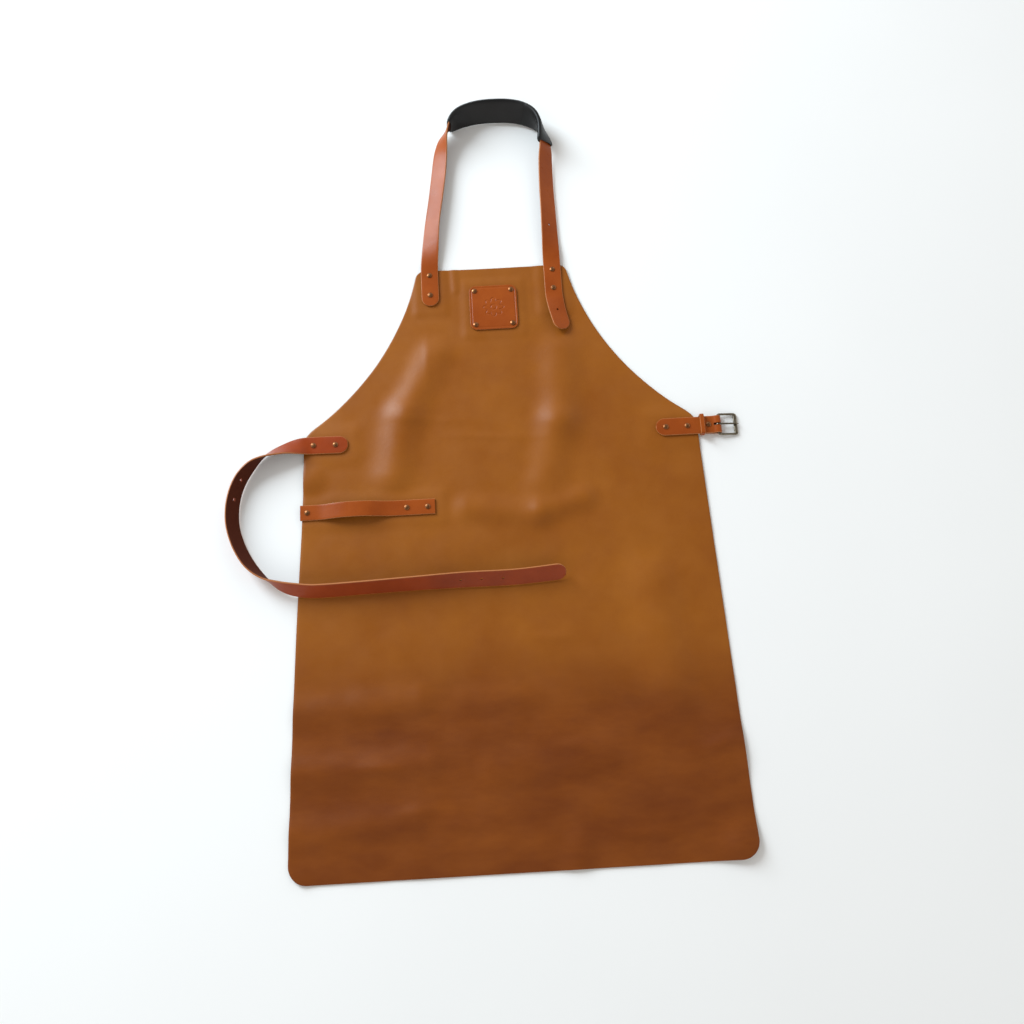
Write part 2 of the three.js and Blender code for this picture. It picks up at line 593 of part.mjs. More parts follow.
function buckleFrame() {
  const { reach, halfWidth: wide, wire, endBar, corner, sides, turns } = FRAME;
  const places = [{ x: 0, y: 0, heading: -90, half: HEEL_RADIUS }];
  const bend = (middleX, middleY, first, halfIn, halfOut) => turns.forEach((a, i) => places.push({
    x: middleX + corner * Math.cos((first + a) * RAD),
    y: middleY + corner * Math.sin((first + a) * RAD),
    heading: first + a + 90,
    half: THREE.MathUtils.lerp(halfIn, halfOut, i / (turns.length - 1)),
  }));
  const inset = wide - corner;
  bend(corner, -inset, 180, HEEL_RADIUS, wire);
  bend(reach - corner, -inset, 270, wire, endBar);
  bend(reach - corner, inset, 0, endBar, wire);
  bend(corner, inset, 90, wire, HEEL_RADIUS);
  const rings = places.map(({ x, y, heading, half }) => {
    const outX = Math.sin(heading * RAD);
    const outY = -Math.cos(heading * RAD);
    const ring = [];
    for (let i = 0; i < sides; i += 1) {
      const a = 2 * Math.PI * (i + 0.5) / sides;
      const out = half * Math.cos(a);
      ring.push([x + outX * out, y + outY * out, Math.min(half, wire) * Math.sin(a)]);
    }
    return ring.reverse();
  });
  return skin(rings, true);
}

function buckleProng() {
  const { width, ring, underside, tip, taper } = PRONG;
  const start = Math.asin(underside / ring);
  const outline = new THREE.Shape();
  outline.moveTo(0, ring);
  outline.lineTo(tip - taper, ring);
  outline.quadraticCurveTo(tip, ring, tip, underside);
  outline.lineTo(ring * Math.cos(start), underside);
  outline.absarc(0, 0, ring, start, Math.PI / 2, true);
  const hole = new THREE.Path();
  hole.absarc(0, 0, HEEL_RADIUS + CLEARANCE, 0, 2 * Math.PI);
  outline.holes.push(hole);
  const geometry = new THREE.ExtrudeGeometry(outline, {
    depth: width, bevelEnabled: false, curveSegments: 5,
  });
  geometry.rotateX(Math.PI / 2);
  geometry.translate(0, width / 2, 0);
  return geometry;
}

function rivet({ base, top }) {
  const low = base - CLEARANCE;
  const high = top + CLEARANCE;
  const profile = [
    [0, low - RIVET.backThickness], [RIVET.back, low - RIVET.backThickness], [RIVET.back, low],
    [RIVET.shank, low], [RIVET.shank, high], [RIVET.cap, high],
    [RIVET.cap * RIVET.shoulder, high + RIVET.dome * RIVET.shoulder], [0, high + RIVET.dome],
  ].map(([r, z]) => new THREE.Vector2(r, z));
  const geometry = new THREE.LatheGeometry(profile, RIVET.sides);
  geometry.rotateX(Math.PI / 2);
  return geometry;
}

// The assembly

const apron = new THREE.Group();

function add(name, geometry, finish, parent = apron) {
  const mesh = new THREE.Mesh(geometry, new THREE.MeshStandardMaterial(FINISHES[finish]));
  mesh.name = name;
  parent.add(mesh);
  return mesh;
}

add('apron_panel', apronPanel(), 'panelLeather');
add('patch', patch(), 'strapLeather');
add('neck_strap', neckStrap(), 'strapLeather');
add('neck_sleeve', neckSleeve(), 'blackLeather');
add('waist_strap', waistStrap(), 'strapLeather');
add('tool_strap', toolStrap(), 'strapLeather');
add('buckle_strap', buckleStrap(), 'strapLeather');
add('keeper', keeper(), 'strapLeather');

// The buckle hangs in the strap's fold, and its end bar rests on the floor.
const buckle = new THREE.Group();
buckle.position.set(HEEL_X, BUCKLE_Y, HEEL_Z);
buckle.rotation.y = Math.asin((HEEL_Z - FRAME.wire - CLEARANCE) / FRAME.reach);
apron.add(buckle);
add('buckle_frame', buckleFrame(), 'antiqueNickel', buckle);
add('buckle_prong', buckleProng(), 'antiqueNickel', buckle);

for (const place of RIVETS) {
  add(place.name, rivet(place), 'antiqueBrass').position.set(place.x, place.y, 0);
}

export default apron;
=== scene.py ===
"""A tan leather bib apron that lies face up, with its straps, sleeve, patch, buckle and rivets."""

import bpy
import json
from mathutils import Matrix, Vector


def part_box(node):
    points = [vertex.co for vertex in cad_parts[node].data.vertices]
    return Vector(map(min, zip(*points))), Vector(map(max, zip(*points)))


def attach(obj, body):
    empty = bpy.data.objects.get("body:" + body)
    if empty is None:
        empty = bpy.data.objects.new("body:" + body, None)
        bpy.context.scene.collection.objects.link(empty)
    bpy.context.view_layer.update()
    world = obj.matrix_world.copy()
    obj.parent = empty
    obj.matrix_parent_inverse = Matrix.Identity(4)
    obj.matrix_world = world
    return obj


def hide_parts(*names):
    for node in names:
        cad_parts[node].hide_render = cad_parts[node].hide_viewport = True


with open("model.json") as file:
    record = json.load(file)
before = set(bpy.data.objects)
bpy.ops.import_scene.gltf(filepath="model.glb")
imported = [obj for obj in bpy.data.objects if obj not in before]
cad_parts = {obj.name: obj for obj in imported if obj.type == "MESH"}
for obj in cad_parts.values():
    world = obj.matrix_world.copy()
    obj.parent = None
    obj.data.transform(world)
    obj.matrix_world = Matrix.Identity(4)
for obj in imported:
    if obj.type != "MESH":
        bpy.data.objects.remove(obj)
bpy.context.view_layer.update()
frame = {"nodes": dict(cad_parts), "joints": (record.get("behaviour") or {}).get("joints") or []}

import json
import math
from collections import namedtuple

import bmesh
import bpy
import numpy as np
from bpy.props import FloatProperty, FloatVectorProperty, PointerProperty
from mathutils import Matrix, Vector

bl_info = {
    "name": "Leather Apron",
    "version": (1, 0, 0),
    "blender": (4, 5, 0),
    "location": "View3D > Sidebar > Apron",
    "description": "Builds a tan leather bib apron with its straps, buckle and rivets",
    "category": "Add Mesh",
}

# Sizes below are in millimetres, as the solids have them, and meshes are made in metres.
MM = 0.001
CLEARANCE = 0.3

# The panel's outline
HEM_Y, BIB_Y, WAIST_Y = -425.0, 425.0, 160.0
HEM_WIDTH, WAIST_WIDTH = 602.0, 561.0
HEM_CORNER, BIB_CORNER, WAIST_CORNER = 26.0, 11.0, 9.0
ARMHOLE_X, ARMHOLE_Y, ARMHOLE_RADIUS = 497.0, 506.0, 395.4
# The left edge lies drawn in a little, most of all beside the tool strap.
LEFT_DRAW_Y, LEFT_DRAW_DEPTH, LEFT_DRAW_SPREAD = 80.0, 3.5, 90.0
# Its divisions: cells across, rows along, and closer rows at the armholes' lower corners.
PANEL_CELLS = 160
PANEL_STEP = 3.4
WAIST_STEP = 1.6
WAIST_SPAN = (148.0, 180.0)
# Rows round a corner, as shares of its radius from the end.
CORNER_STEPS = 13
CORNER_TURNS = 1 - np.cos(np.linspace(0, math.pi / 2, CORNER_STEPS))
# A sheet's rounded rim: a row of points within it, how much of the rounding the back has, and how much of
# it shows as cut edge.
RIM_ROW, RIM_BACK, RIM_CUT = 0.3, 1 / 3, 0.5

# Where something is riveted on, the panel lies level, and stands off the floor for the rivets' backs.
SEAT_LIFT = 1.5
Seat = namedtuple("Seat", "x y half_x half_y fade")
SEATS = [
    Seat(-91, 398, 18, 38, 14),
    Seat(91, 394, 18, 42, 14),
    Seat(1, 360, 39, 39, 14),
    Seat(-252, 159.5, 42, 17, 22),
    Seat(252, 159.5, 40, 17, 24),
    Seat(-190, 62, 100, 15, 18),
]
# The waist strap's free end keeps the panel under it smooth.
PRESSED = [*SEATS, Seat(-110, -47, 200, 12, 16)]

# Soft folds: each is a ridge along a line, with its height and how far it spreads to each side.
Fold = namedtuple("Fold", "x0 y0 x1 y1 height spread")
FOLDS = [
    Fold(-88, 290, -128, 212, 6.5, 19),
    Fold(-138, 190, -152, 112, 7.5, 20),
    Fold(94, 285, 88, 190, 7.5, 22),
    Fold(83, 170, 60, 94, 6, 20),
    Fold(-50, 57, 40, 46, 5, 15),
    Fold(56, 47, 112, 64, 6, 14),
    Fold(-56, 432, -54, 392, 2.6, 6),
    Fold(-288, 118, -272, 110, 6, 16),
    Fold(-300, -212, -130, -204, 4.5, 18),
    Fold(-300, -288, -120, -284, 5, 17),
    Fold(-300, -364, -140, -352, 4.5, 17),
    Fold(-60, -206, 110, -200, 3, 18),
    Fold(-30, -300, 110, -286, 3.5, 20),
    Fold(196, -60, 214, -220, 6, 26),
    Fold(300, -290, 282, -286, 5, 24),
    Fold(66, -430, 74, -392, 4, 16),
    Fold(304, -428, 284, -410, 9, 24),
    Fold(-304, -428, -290, -420, 3.5, 18),
]
FOLD_FLOOR = 0.5
FOLD_SOFTNESS = 1.5

# Creases from storage, narrower than the folds: they run out a little past their ends.
CREASE_REACH = 1.25
CREASES = [
    Fold(-163, 194, -13, 185, 0.5, 4),
    Fold(-107, 167, 85, 154, 0.5, 4),
    Fold(-98, 330, -101, 236, 0.5, 4),
    Fold(8, -126, 96, -131, 0.9, 5),
    Fold(36, -269, 112, -272, 0.8, 5),
    Fold(-232, -287, -136, -287, 1.2, 5),
    Fold(-168, -345, -100, -341, 0.9, 5),
    Fold(-112, -362, -44, -365, 0.8, 5),
    Fold(110, -385, 216, -387, 1.1, 5),
    Fold(222, -295, 299, -268, 1.5, 7),
]

# Fine ripples of tumbled leather: waves in all directions, from these lengths.
RIPPLE_SEED = 7
RIPPLE_COUNT = 36
RIPPLE_LENGTHS = (26.0, 120.0)

# The panel turns redder and darker towards the hem, partly the hide's own tone and partly painted shade:
# where that starts and is complete, how far the border wanders and in clouds of what size, and the height
# of the bands in it, drawn out across the panel.
SKIRT_TOP, SKIRT_FULL, SKIRT_WANDER, SKIRT_DRIFT = -45.0, -200.0, 110.0, 160.0
BAND_HEIGHT = 75.0
BAND_STRETCH = (0.55, 1.3, 1.0)

# The flesh side's fibres: their size, and how dark and how light they are beside its colour.
FIBRE, NAP_DARK, NAP_LIGHT = 2.4, 0.7, 1.25
# How deep the grain's pores are, the wrinkles between them and the metals' pits, and how many pores wide a
# wrinkle is.
PORE_DEPTH, WRINKLE_DEPTH, PIT_DEPTH, WRINKLE_PORES = 0.12, 0.3, 0.05, 7
FLOOR_CLOUD = 400.0

# The straps' ways, by the middle of the strap. low is its lower edge's height, and bank how far it is
# turned about its own line, in degrees: 0 is flat with its grain side up.
SEAT_TOP = 3.6
Station = namedtuple("Station", "x y low bank")
NECK_STATIONS = [
    Station(-91, 367, SEAT_TOP, 0),
    Station(-91, 388, SEAT_TOP, 0),
    Station(-91, 409, SEAT_TOP, 0),
    Station(-90.6, 430, SEAT_TOP, 1),
    Station(-88.2, 458, 1.8, 14),
    Station(-83.6, 501, 0.8, 28),
    Station(-76.6, 545, 0.8, 29),
    Station(-71.2, 582, 0.8, 28),
    Station(-68, 608, 1.2, 32),
    Station(-65, 627, 2.4, 41),
    Station(-60, 645, 4.4, 60),
    Station(-50, 662, 6, 86),
    Station(-34, 675, 6, 108),
    Station(-8, 683.5, 5.8, 121),
    Station(24, 685.5, 5.6, 126),
    Station(52, 681.5, 5.8, 122),
    Station(73, 671, 6, 108),
    Station(86, 656, 6, 86),
    Station(92.5, 638, 5.4, 62),
    Station(94, 618, 4, 46),
    Station(92.6, 596, 1.8, 37),
    Station(91.4, 553, 0.8, 32),
    Station(91.4, 512, 0.8, 27),
    Station(91.2, 470, 1.2, 18),
    Station(91, 446, 3.2, 6),
    Station(91, 428, SEAT_TOP, 0),
    Station(91, 409, SEAT_TOP, 0),
    Station(91, 390, SEAT_TOP, 0),
    Station(91.3, 374, SEAT_TOP, 1),
    Station(94, 350, 4, 12),
    Station(101, 317, 4.4, 20),
]
SLEEVE_FROM, SLEEVE_TO = 11, 19
WAIST_STATIONS = [
    Station(-215.5, 159.3, SEAT_TOP, 0),
    Station(-236, 159.6, SEAT_TOP, 0),
    Station(-254, 159.9, SEAT_TOP, 0),
    Station(-270, 160, SEAT_TOP, -1),
    Station(-284, 159, SEAT_TOP, -15),
    Station(-302, 155.8, 2, -39),
    Station(-320, 150.5, 1, -57),
    Station(-336, 143, 0.8, -77),
    Station(-350, 132, 0.8, -100),
    Station(-363, 115, 0.8, -113),
    Station(-371.5, 94, 0.8, -117),
    Station(-375.3, 70, 0.8, -120),
    Station(-373.6, 44, 0.8, -121),
    Station(-364.5, 16, 0.8, -121),
    Station(-350, -9, 0.8, -117),
    Station(-331, -28, 0.8, -100),
    Station(-310, -40, 1.6, -73),
    Station(-287, -47, 2.6, -57),
    Station(-258, -50.2, 2.6, -56),
    Station(-200, -49, 2.6, -57),
    Station(-130, -47, 2.6, -54),
    Station(-60, -45.5, 2.6, -46),
    Station(10, -45.5, 2.6, -45),
    Station(79, -41, 2.6, -42),
]
# Punched holes, by their distance from the end that each strap's last station is at.
NECK_HOLES = [33, 174]
WAIST_HOLES = [86, 115, 144, 542, 571]
# How finely the straps are divided, the angle that their round tips start from, and how far these thin out.
SPLINE_STEPS = 60
STRAP_STEP = 2.5
TIP_STEPS = 10
TIP_FIRST_TURN = 8.0
TIP_ROUND = 0.9
# The punch goes this far through a strap.
PUNCH_REACH, PUNCH_SIDES = 8.0, 24
# Points of a line that are closer than this are one point.
SAME_POINT = 1e-6

# The tool strap's loop: where it leaves the panel, where its crest is and how gently it bends.
TOOL_Y, TOOL_LEFT, TOOL_RIGHT = 62.0, -283.0, -96.0
TOOL_LOOP_START, TOOL_LOOP_CREST, TOOL_LOOP_END = -264.0, -206.0, -146.0
TOOL_LOOP_HEIGHT, TOOL_RISE_EASE, TOOL_FALL_EASE = 9.5, 23.0, 30.0
TOOL_WIDTH, TOOL_THICKNESS = 22.0, 2.2

# The buckle strap is folded back under itself round the buckle's heel bar.
HEEL = Vector(frame["joints"][0]["pos_m"]) / MM
BUCKLE_STRAP_END = 221.5
# The fold: where the strap steps up over its tail, where the tail ends and how high it lies, and where the
# two part to go round the bar.
LAP_FROM, LAP_TO, LAP_END, LAP_LIFT = 282.0, 291.0, 290.6, 1.6
LAP_PINCH, LAP_EASE = 301.0, 4.0
PRONG_SLOT_WIDTH, PRONG_SLOT_BACK = 3.6, 6.6
# The keeper, a band round the strap
KEEPER_X, KEEPER_WIDTH, KEEPER_THICKNESS, KEEPER_ROOM = 283.4, 6.0, 1.8, 4.8
KEEPER_CORNER = 1.2
# The buckle's frame, its heel bar and its prong, as seen from the heel bar
FRAME_REACH, FRAME_HALF_WIDTH, FRAME_CORNER = 25.5, 14.9, 3.2
FRAME_WIRE, FRAME_END_BAR, HEEL_RADIUS = 1.6, 2.7, 1.5
PRONG_WIDTH, PRONG_RING, PRONG_UNDERSIDE, PRONG_TIP = 2.4, 3.5, 1.95, 29.3

PATCH_LOW, PATCH_HIGH = (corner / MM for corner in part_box("patch"))
RIVETS = sorted(name for name in frame["nodes"] if name.startswith("rivet_"))
# A rivet's cap: its sides, the rings in its dome, how late the dome falls, and how far it leans and turns.
RIVET_SIDES, RIVET_RINGS, RIVET_FALL = 32, 7, 2.4
RIVET_LEAN, RIVET_TURN, RIVET_SEED = 0.05, 6.0, 3


def hex_linear(code):
    """An sRGB hex colour as linear red, green and blue."""
    channels = [int(code[i:i + 2], 16) / 255 for i in (1, 3, 5)]
    return tuple(c / 12.92 if c <= 0.04045 else ((c + 0.055) / 1.055) ** 2.4 for c in channels)


def per_mm(size):
    """The scale of a texture whose features are that many millimetres across."""
    return 1 / (size * MM)


class ApronSizes(bpy.types.PropertyGroup):
    """Sizes of the leather and the rivets."""

    panel_thickness: FloatProperty(
        name="Panel thickness", description="Thickness of the panel's leather",
        default=1.8 * MM, unit="LENGTH")
    panel_rim: FloatProperty(
        name="Panel rim", description="How far the panel's cut edge is rounded over",
        default=0.8 * MM, unit="LENGTH")
    ripple: FloatProperty(
        name="Ripple", description="Height of the fine ripples in the panel",
        default=0.55 * MM, unit="LENGTH")
    strap_width: FloatProperty(
        name="Strap width", description="Width of the neck, waist and buckle straps",
        default=25.4 * MM, unit="LENGTH")
    strap_thickness: FloatProperty(
        name="Strap thickness", description="Thickness of the straps' leather",
        default=2.6 * MM, unit="LENGTH")
    strap_rim: FloatProperty(
        name="Strap rim", description="Radius of the straps' burnished edges",
        default=0.8 * MM, unit="LENGTH")
    hole_radius: FloatProperty(
        name="Hole radius", description="Radius of the punched holes",
        default=1.6 * MM, unit="LENGTH")
    sleeve_width: FloatProperty(
        name="Sleeve width", description="Width of the flattened neck sleeve",
        default=36 * MM, unit="LENGTH")
    stamp_depth: FloatProperty(
        name="Stamp depth", description="Depth of the pattern pressed into the patch",
        default=0.45 * MM, unit="LENGTH")
    rivet_cap: FloatProperty(
        name="Rivet cap", description="Radius of a rivet's cap",
        default=3.7 * MM, unit="LENGTH")
    rivet_dome: FloatProperty(
        name="Rivet dome", description="Height of a rivet's dome above its rim",
        default=1.1 * MM, unit="LENGTH")


class ApronColours(bpy.types.PropertyGroup):
    """Colours of the leathers and metals."""

    panel_light: FloatVectorProperty(
        name="Panel, light", description="Lighter tone of the panel's leather",
        default=hex_linear("#995919"), subtype="COLOR")
    panel_dark: FloatVectorProperty(
        name="Panel, dark", description="Darker tone of the panel's leather",
        default=hex_linear("#8A4B11"), subtype="COLOR")
    # Towards the hem the panel's tones are partly the hide's own and partly painted shade.
    skirt_tone_and_shade_light: FloatVectorProperty(
        name="Skirt, light", description="Lighter tone of the panel's leather towards the hem",
        default=hex_linear("#834413"), subtype="COLOR")
    skirt_tone_and_shade_dark: FloatVectorProperty(
        name="Skirt, dark", description="Darker tone of the panel's leather towards the hem",
        default=hex_linear("#6C330D"), subtype="COLOR")
    strap_light: FloatVectorProperty(
        name="Strap, light", description="Lighter tone of the straps' leather",
        default=hex_linear("#9F4D1A"), subtype="COLOR")
    strap_dark: FloatVectorProperty(
        name="Strap, dark", description="Darker tone of the straps' leather",
        default=hex_linear("#8E4014"), subtype="COLOR")
    # The waist strap's tones are the strap leather's, darkened and reddened as painted shade.
    waist_shade_light: FloatVectorProperty(
        name="Waist strap, light", description="Lighter tone of the waist strap's leather",
        default=hex_linear("#983E16"), subtype="COLOR")
    waist_shade_dark: FloatVectorProperty(
        name="Waist strap, dark", description="Darker tone of the waist strap's leather",
        default=hex_linear("#833310"), subtype="COLOR")
    black: FloatVectorProperty(
        name="Black leather", description="Colour of the neck sleeve",
        default=hex_linear("#151414"), subtype="COLOR")
    nickel: FloatVectorProperty(
        name="Buckle metal", description="Colour of the buckle's antique nickel",
        default=hex_linear("#897F6E"), subtype="COLOR")
    brass: FloatVectorProperty(
        name="Rivet metal", description="Colour of the rivets' antique brass",
        default=hex_linear("#966642"), subtype="COLOR")


class ApronStage(bpy.types.PropertyGroup):
    """The camera and the light."""

    camera_place: FloatVectorProperty(
        name="Camera place", description="Where the camera stands",
        default=(-0.0099, -0.305, 1.322), subtype="TRANSLATION", unit="LENGTH")
    camera_pitch: FloatProperty(
        name="Camera pitch", description="How steeply the camera looks down",
        default=math.radians(75), subtype="ANGLE")
    camera_heading: FloatProperty(
        name="Camera heading", description="How far the camera is turned to the right",
        default=math.radians(3.28), subtype="ANGLE")
    camera_lens: FloatProperty(
        name="Camera lens", description="Focal length on a sensor 36 mm wide",
        default=34.56, unit="CAMERA")
    window_place: FloatVectorProperty(
        name="Window place", description="Middle of the large soft light",
        default=(-2.16, 2.16, 1.68), subtype="TRANSLATION", unit="LENGTH")
    window_power: FloatProperty(
        name="Window power", description="Power of the large soft light",
        default=147.0, unit="POWER")
    room_light: FloatProperty(
        name="Room light", description="Brightness of the even light from all round",
        default=1.07, min=0.0)


def smoothstep(share):
    """A soft step from 0 to 1."""
    share = np.clip(share, 0, 1)
    return share * share * (3 - 2 * share)


def share_along(fold, x, y):
    """How far along a fold's line each place is: 0 at its start and 1 at its end."""
    dx, dy = fold.x1 - fold.x0, fold.y1 - fold.y0
    return ((x - fold.x0) * dx + (y - fold.y0) * dy) / (dx * dx + dy * dy)


def ridge(fold, x, y):
    """A fold's height over the floor at each place."""
    share = np.clip(share_along(fold, x, y), 0, 1)
    away_x = x - fold.x0 - share * (fold.x1 - fold.x0)
    away_y = y - fold.y0 - share * (fold.y1 - fold.y0)
    return fold.height * np.exp(-(np.hypot(away_x, away_y) / fold.spread) ** 2 / 2)


def crease_height(crease, x, y):
    """A crease's height at each place: highest half way along, and running out at its ends."""
    from_middle = np.abs(2 * share_along(crease, x, y) - 1)
    return ridge(crease, x, y) * (1 - smoothstep(from_middle / CREASE_REACH))


def seat_share(seats, x, y):
    """How far each place belongs to one of the level seats, from 0 to 1."""
    share = np.zeros_like(x)
    for seat in seats:
        out_x = np.maximum(np.abs(x - seat.x) - seat.half_x, 0)
        out_y = np.maximum(np.abs(y - seat.y) - seat.half_y, 0)
        share = np.maximum(share, 1 - smoothstep(np.hypot(out_x, out_y) / seat.fade))
    return share


def ripples(x, y):
    """Fine even waviness from 0 to about 1."""
    draw = np.random.default_rng(RIPPLE_SEED)
    total = np.zeros_like(x)
    power = 0.0
    for _ in range(RIPPLE_COUNT):
        length = draw.uniform(*RIPPLE_LENGTHS)
        heading, phase = draw.uniform(0, 2 * math.pi, 2)
        weight = length / RIPPLE_LENGTHS[1]
        along = x * math.cos(heading) + y * math.sin(heading)
        total += weight * np.sin(2 * math.pi * along / length + phase)
        power += weight ** 2
    # Two deviations to each side of the middle fill the range.
    deviation = math.sqrt(power / 2)
    return np.clip(0.5 + total / (4 * deviation), 0, 1)


def back_height(x, y, ripple):
    """How high the panel's back lies above the floor."""
    raised = sum(ridge(fold, x, y) for fold in FOLDS) - FOLD_FLOOR
    raised = np.maximum(raised, 0)
    folds = raised ** 2 / (raised + FOLD_SOFTNESS)
    seat = seat_share(SEATS, x, y)
    free = 1 - seat_share(PRESSED, x, y)
    fine = sum(crease_height(crease, x, y) for crease in CREASES) + ripple * ripples(x, y)
    return folds * (1 - seat) + SEAT_LIFT * seat + fine * free


def corner_inset(distance, radius):
    """How far a round corner draws an edge in, at a distance from the end."""
    near = np.clip(radius - distance, 0, radius)
    return radius - np.sqrt(radius ** 2 - near ** 2)


def panel_half_width(y):
    """Half the panel's width at a height along it."""
    flare = (HEM_WIDTH - WAIST_WIDTH) / 2 / (WAIST_Y - HEM_Y)
    side = WAIST_WIDTH / 2 + (WAIST_Y - y) * flare
    inside = np.maximum(ARMHOLE_RADIUS ** 2 - (y - ARMHOLE_Y) ** 2, 0)
    armhole = ARMHOLE_X - np.sqrt(inside)
    blend = np.maximum(2 * WAIST_CORNER - np.abs(side - armhole), 0) / (2 * WAIST_CORNER)
    edge = np.minimum(side, armhole) - blend ** 2 * WAIST_CORNER / 2
    return edge - corner_inset(y - HEM_Y, HEM_CORNER) - corner_inset(BIB_Y - y, BIB_CORNER)


def left_draw(y):
    """How far the panel's left edge lies drawn in at a height along it."""
    return LEFT_DRAW_DEPTH * np.exp(-((y - LEFT_DRAW_Y) / LEFT_DRAW_SPREAD) ** 2 / 2)


def panel_rows():
    """The panel's rows, closer together round its corners."""
    low, high = WAIST_SPAN
    spans = [
        HEM_Y + HEM_CORNER * CORNER_TURNS,
        np.arange(HEM_Y + HEM_CORNER + PANEL_STEP, low, PANEL_STEP),
        np.arange(low, high, WAIST_STEP),
        np.arange(high, BIB_Y - BIB_CORNER - PANEL_STEP / 2, PANEL_STEP),
        BIB_Y - BIB_CORNER * CORNER_TURNS[::-1],
    ]
    return np.concatenate(spans)


def grid_faces(corners, flip=False):
    """Four-sided faces between the rows and columns of a grid of vertex numbers."""
    faces = np.stack([corners[:-1, :-1], corners[:-1, 1:], corners[1:, 1:], corners[1:, :-1]], axis=-1)
    faces = faces.reshape(-1, 4)
    return faces[:, ::-1] if flip else faces


def sheet_mesh(name, rows, half_width, cells, rim, back, thickness, dent=None, draw=None):
    """A leather sheet as a closed mesh: rows along Y, an even number of cells across, a rounded rim.

    dent is how deep its face is pressed in, and draw how far its left edge lies drawn in."""
    rim_steps = rim * np.array([0.0, RIM_ROW])
    half = half_width(rows)[:, None]
    even = np.linspace(-1, 1, cells + 1)[None, :] * (half - rim)
    x = np.hstack([rim_steps - half, even, half - rim_steps[::-1]])
    y = np.repeat(rows[:, None], x.shape[1], axis=1)
    inside = np.minimum(half - np.abs(x), np.minimum(y - rows[0], rows[-1] - y))
    drop = corner_inset(inside, rim)
    if draw is not None:
        x = x + draw(y) * (half - x) / (2 * half)
    low = back(x, y)
    high = low + thickness - drop
    if dent is not None:
        high = high - dent(x, y)
    points = np.concatenate([
        np.stack([x, y, low + drop * RIM_BACK], axis=-1).reshape(-1, 3),
        np.stack([x, y, high], axis=-1).reshape(-1, 3),
    ])
    under = np.arange(x.size).reshape(x.shape)
    over = under + x.size
    loop = np.concatenate([under[0, :-1], under[:-1, -1], under[-1, :0:-1], under[:0:-1, 0]])
    ahead = np.roll(loop, -1)
    wall = np.stack([loop, ahead, ahead + x.size, loop + x.size], axis=-1)
    faces = np.concatenate([grid_faces(under, flip=True), grid_faces(over), wall])
    edge = np.clip(1 - inside / (rim * RIM_CUT), 0, 1).ravel()
    values = {
        "flesh": np.concatenate([np.ones(x.size), np.zeros(x.size)]),
        "edge": np.concatenate([edge, edge]),
    }
    return make_mesh(name, points, faces.tolist(), values)


def make_mesh(name, points, faces, values=None):
    """A mesh from points in millimetres, with its faces outwards and a value at each point by name."""
    mesh = bpy.data.meshes.new(name)
    mesh.from_pydata((np.asarray(points) * MM).tolist(), [], faces)
    shape = bmesh.new()
    shape.from_mesh(mesh)
    if shape.calc_volume(signed=True) < 0:
        bmesh.ops.reverse_faces(shape, faces=shape.faces)
        shape.to_mesh(mesh)
    shape.free()
    for key, column in (values or {}).items():
        layer = mesh.attributes.new(key, "FLOAT", "POINT")
        layer.data.foreach_set("value", np.asarray(column, dtype=np.float32))
    finish_shading(mesh)
    return mesh


def finish_shading(mesh, sharp=38.0):
    """Smooth shading, broken where faces meet at a sharp angle."""
    mesh.polygons.foreach_set("use_smooth", np.ones(len(mesh.polygons), dtype=bool))
    mesh.set_sharp_from_angle(angle=math.radians(sharp))


def loose_object(name, data):
    """An object in the scene that isn't a piece yet."""
    thing = bpy.data.objects.new(name, data)
    bpy.context.scene.collection.objects.link(thing)
    return thing


def place_piece(name, mesh, material, body="apron", nodes=None):
    """Puts a finished mesh into the scene in place of its solids: those named, or the one of its name."""
    piece = loose_object(f"{name}_look", mesh)
    mesh.materials.clear()
    mesh.materials.append(material)
    nodes = nodes or [name]
    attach(piece, body)
    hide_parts(*nodes)
    return piece


def take_mesh(thing):
    """The evaluated mesh of a working object, which is then removed."""
    graph = bpy.context.evaluated_depsgraph_get()
    mesh = bpy.data.meshes.new_from_object(thing.evaluated_get(graph))
    thing.modifiers.clear()
    bpy.data.objects.remove(thing)
    return mesh


def carve(mesh, cutter_mesh):
    """A mesh with closed cutters taken out of it."""
    blank = loose_object("blank", mesh)
    cutter = loose_object("cutter", cutter_mesh)
    cut = blank.modifiers.new("cut", "BOOLEAN")
    cut.operation = "DIFFERENCE"
    cut.solver = "EXACT"
    cut.object = cutter
    carved = take_mesh(blank)
    bpy.data.objects.remove(cutter)
    finish_shading(carved)
    return carved


# A strap's line: its middle, its direction across and its grain side's normal at each section.
Way = namedtuple("Way", "middle across normal")


def spline(knots):
    """A smooth line through rows of numbers, with many short steps."""
    knots = np.vstack([2 * knots[0] - knots[1], knots, 2 * knots[-1] - knots[-2]])
    t = np.linspace(0, 1, SPLINE_STEPS, endpoint=False)[:, None]
    spans = []
    for p0, p1, p2, p3 in zip(knots, knots[1:], knots[2:], knots[3:]):
        leave, arrive = (p2 - p0) / 2, (p3 - p1) / 2
        square = 3 * (p2 - p1) - 2 * leave - arrive
        cube = 2 * (p1 - p2) + leave + arrive
        spans.append(p1 + t * (leave + t * (square + t * cube)))
    return np.vstack([*spans, knots[-2:-1]])


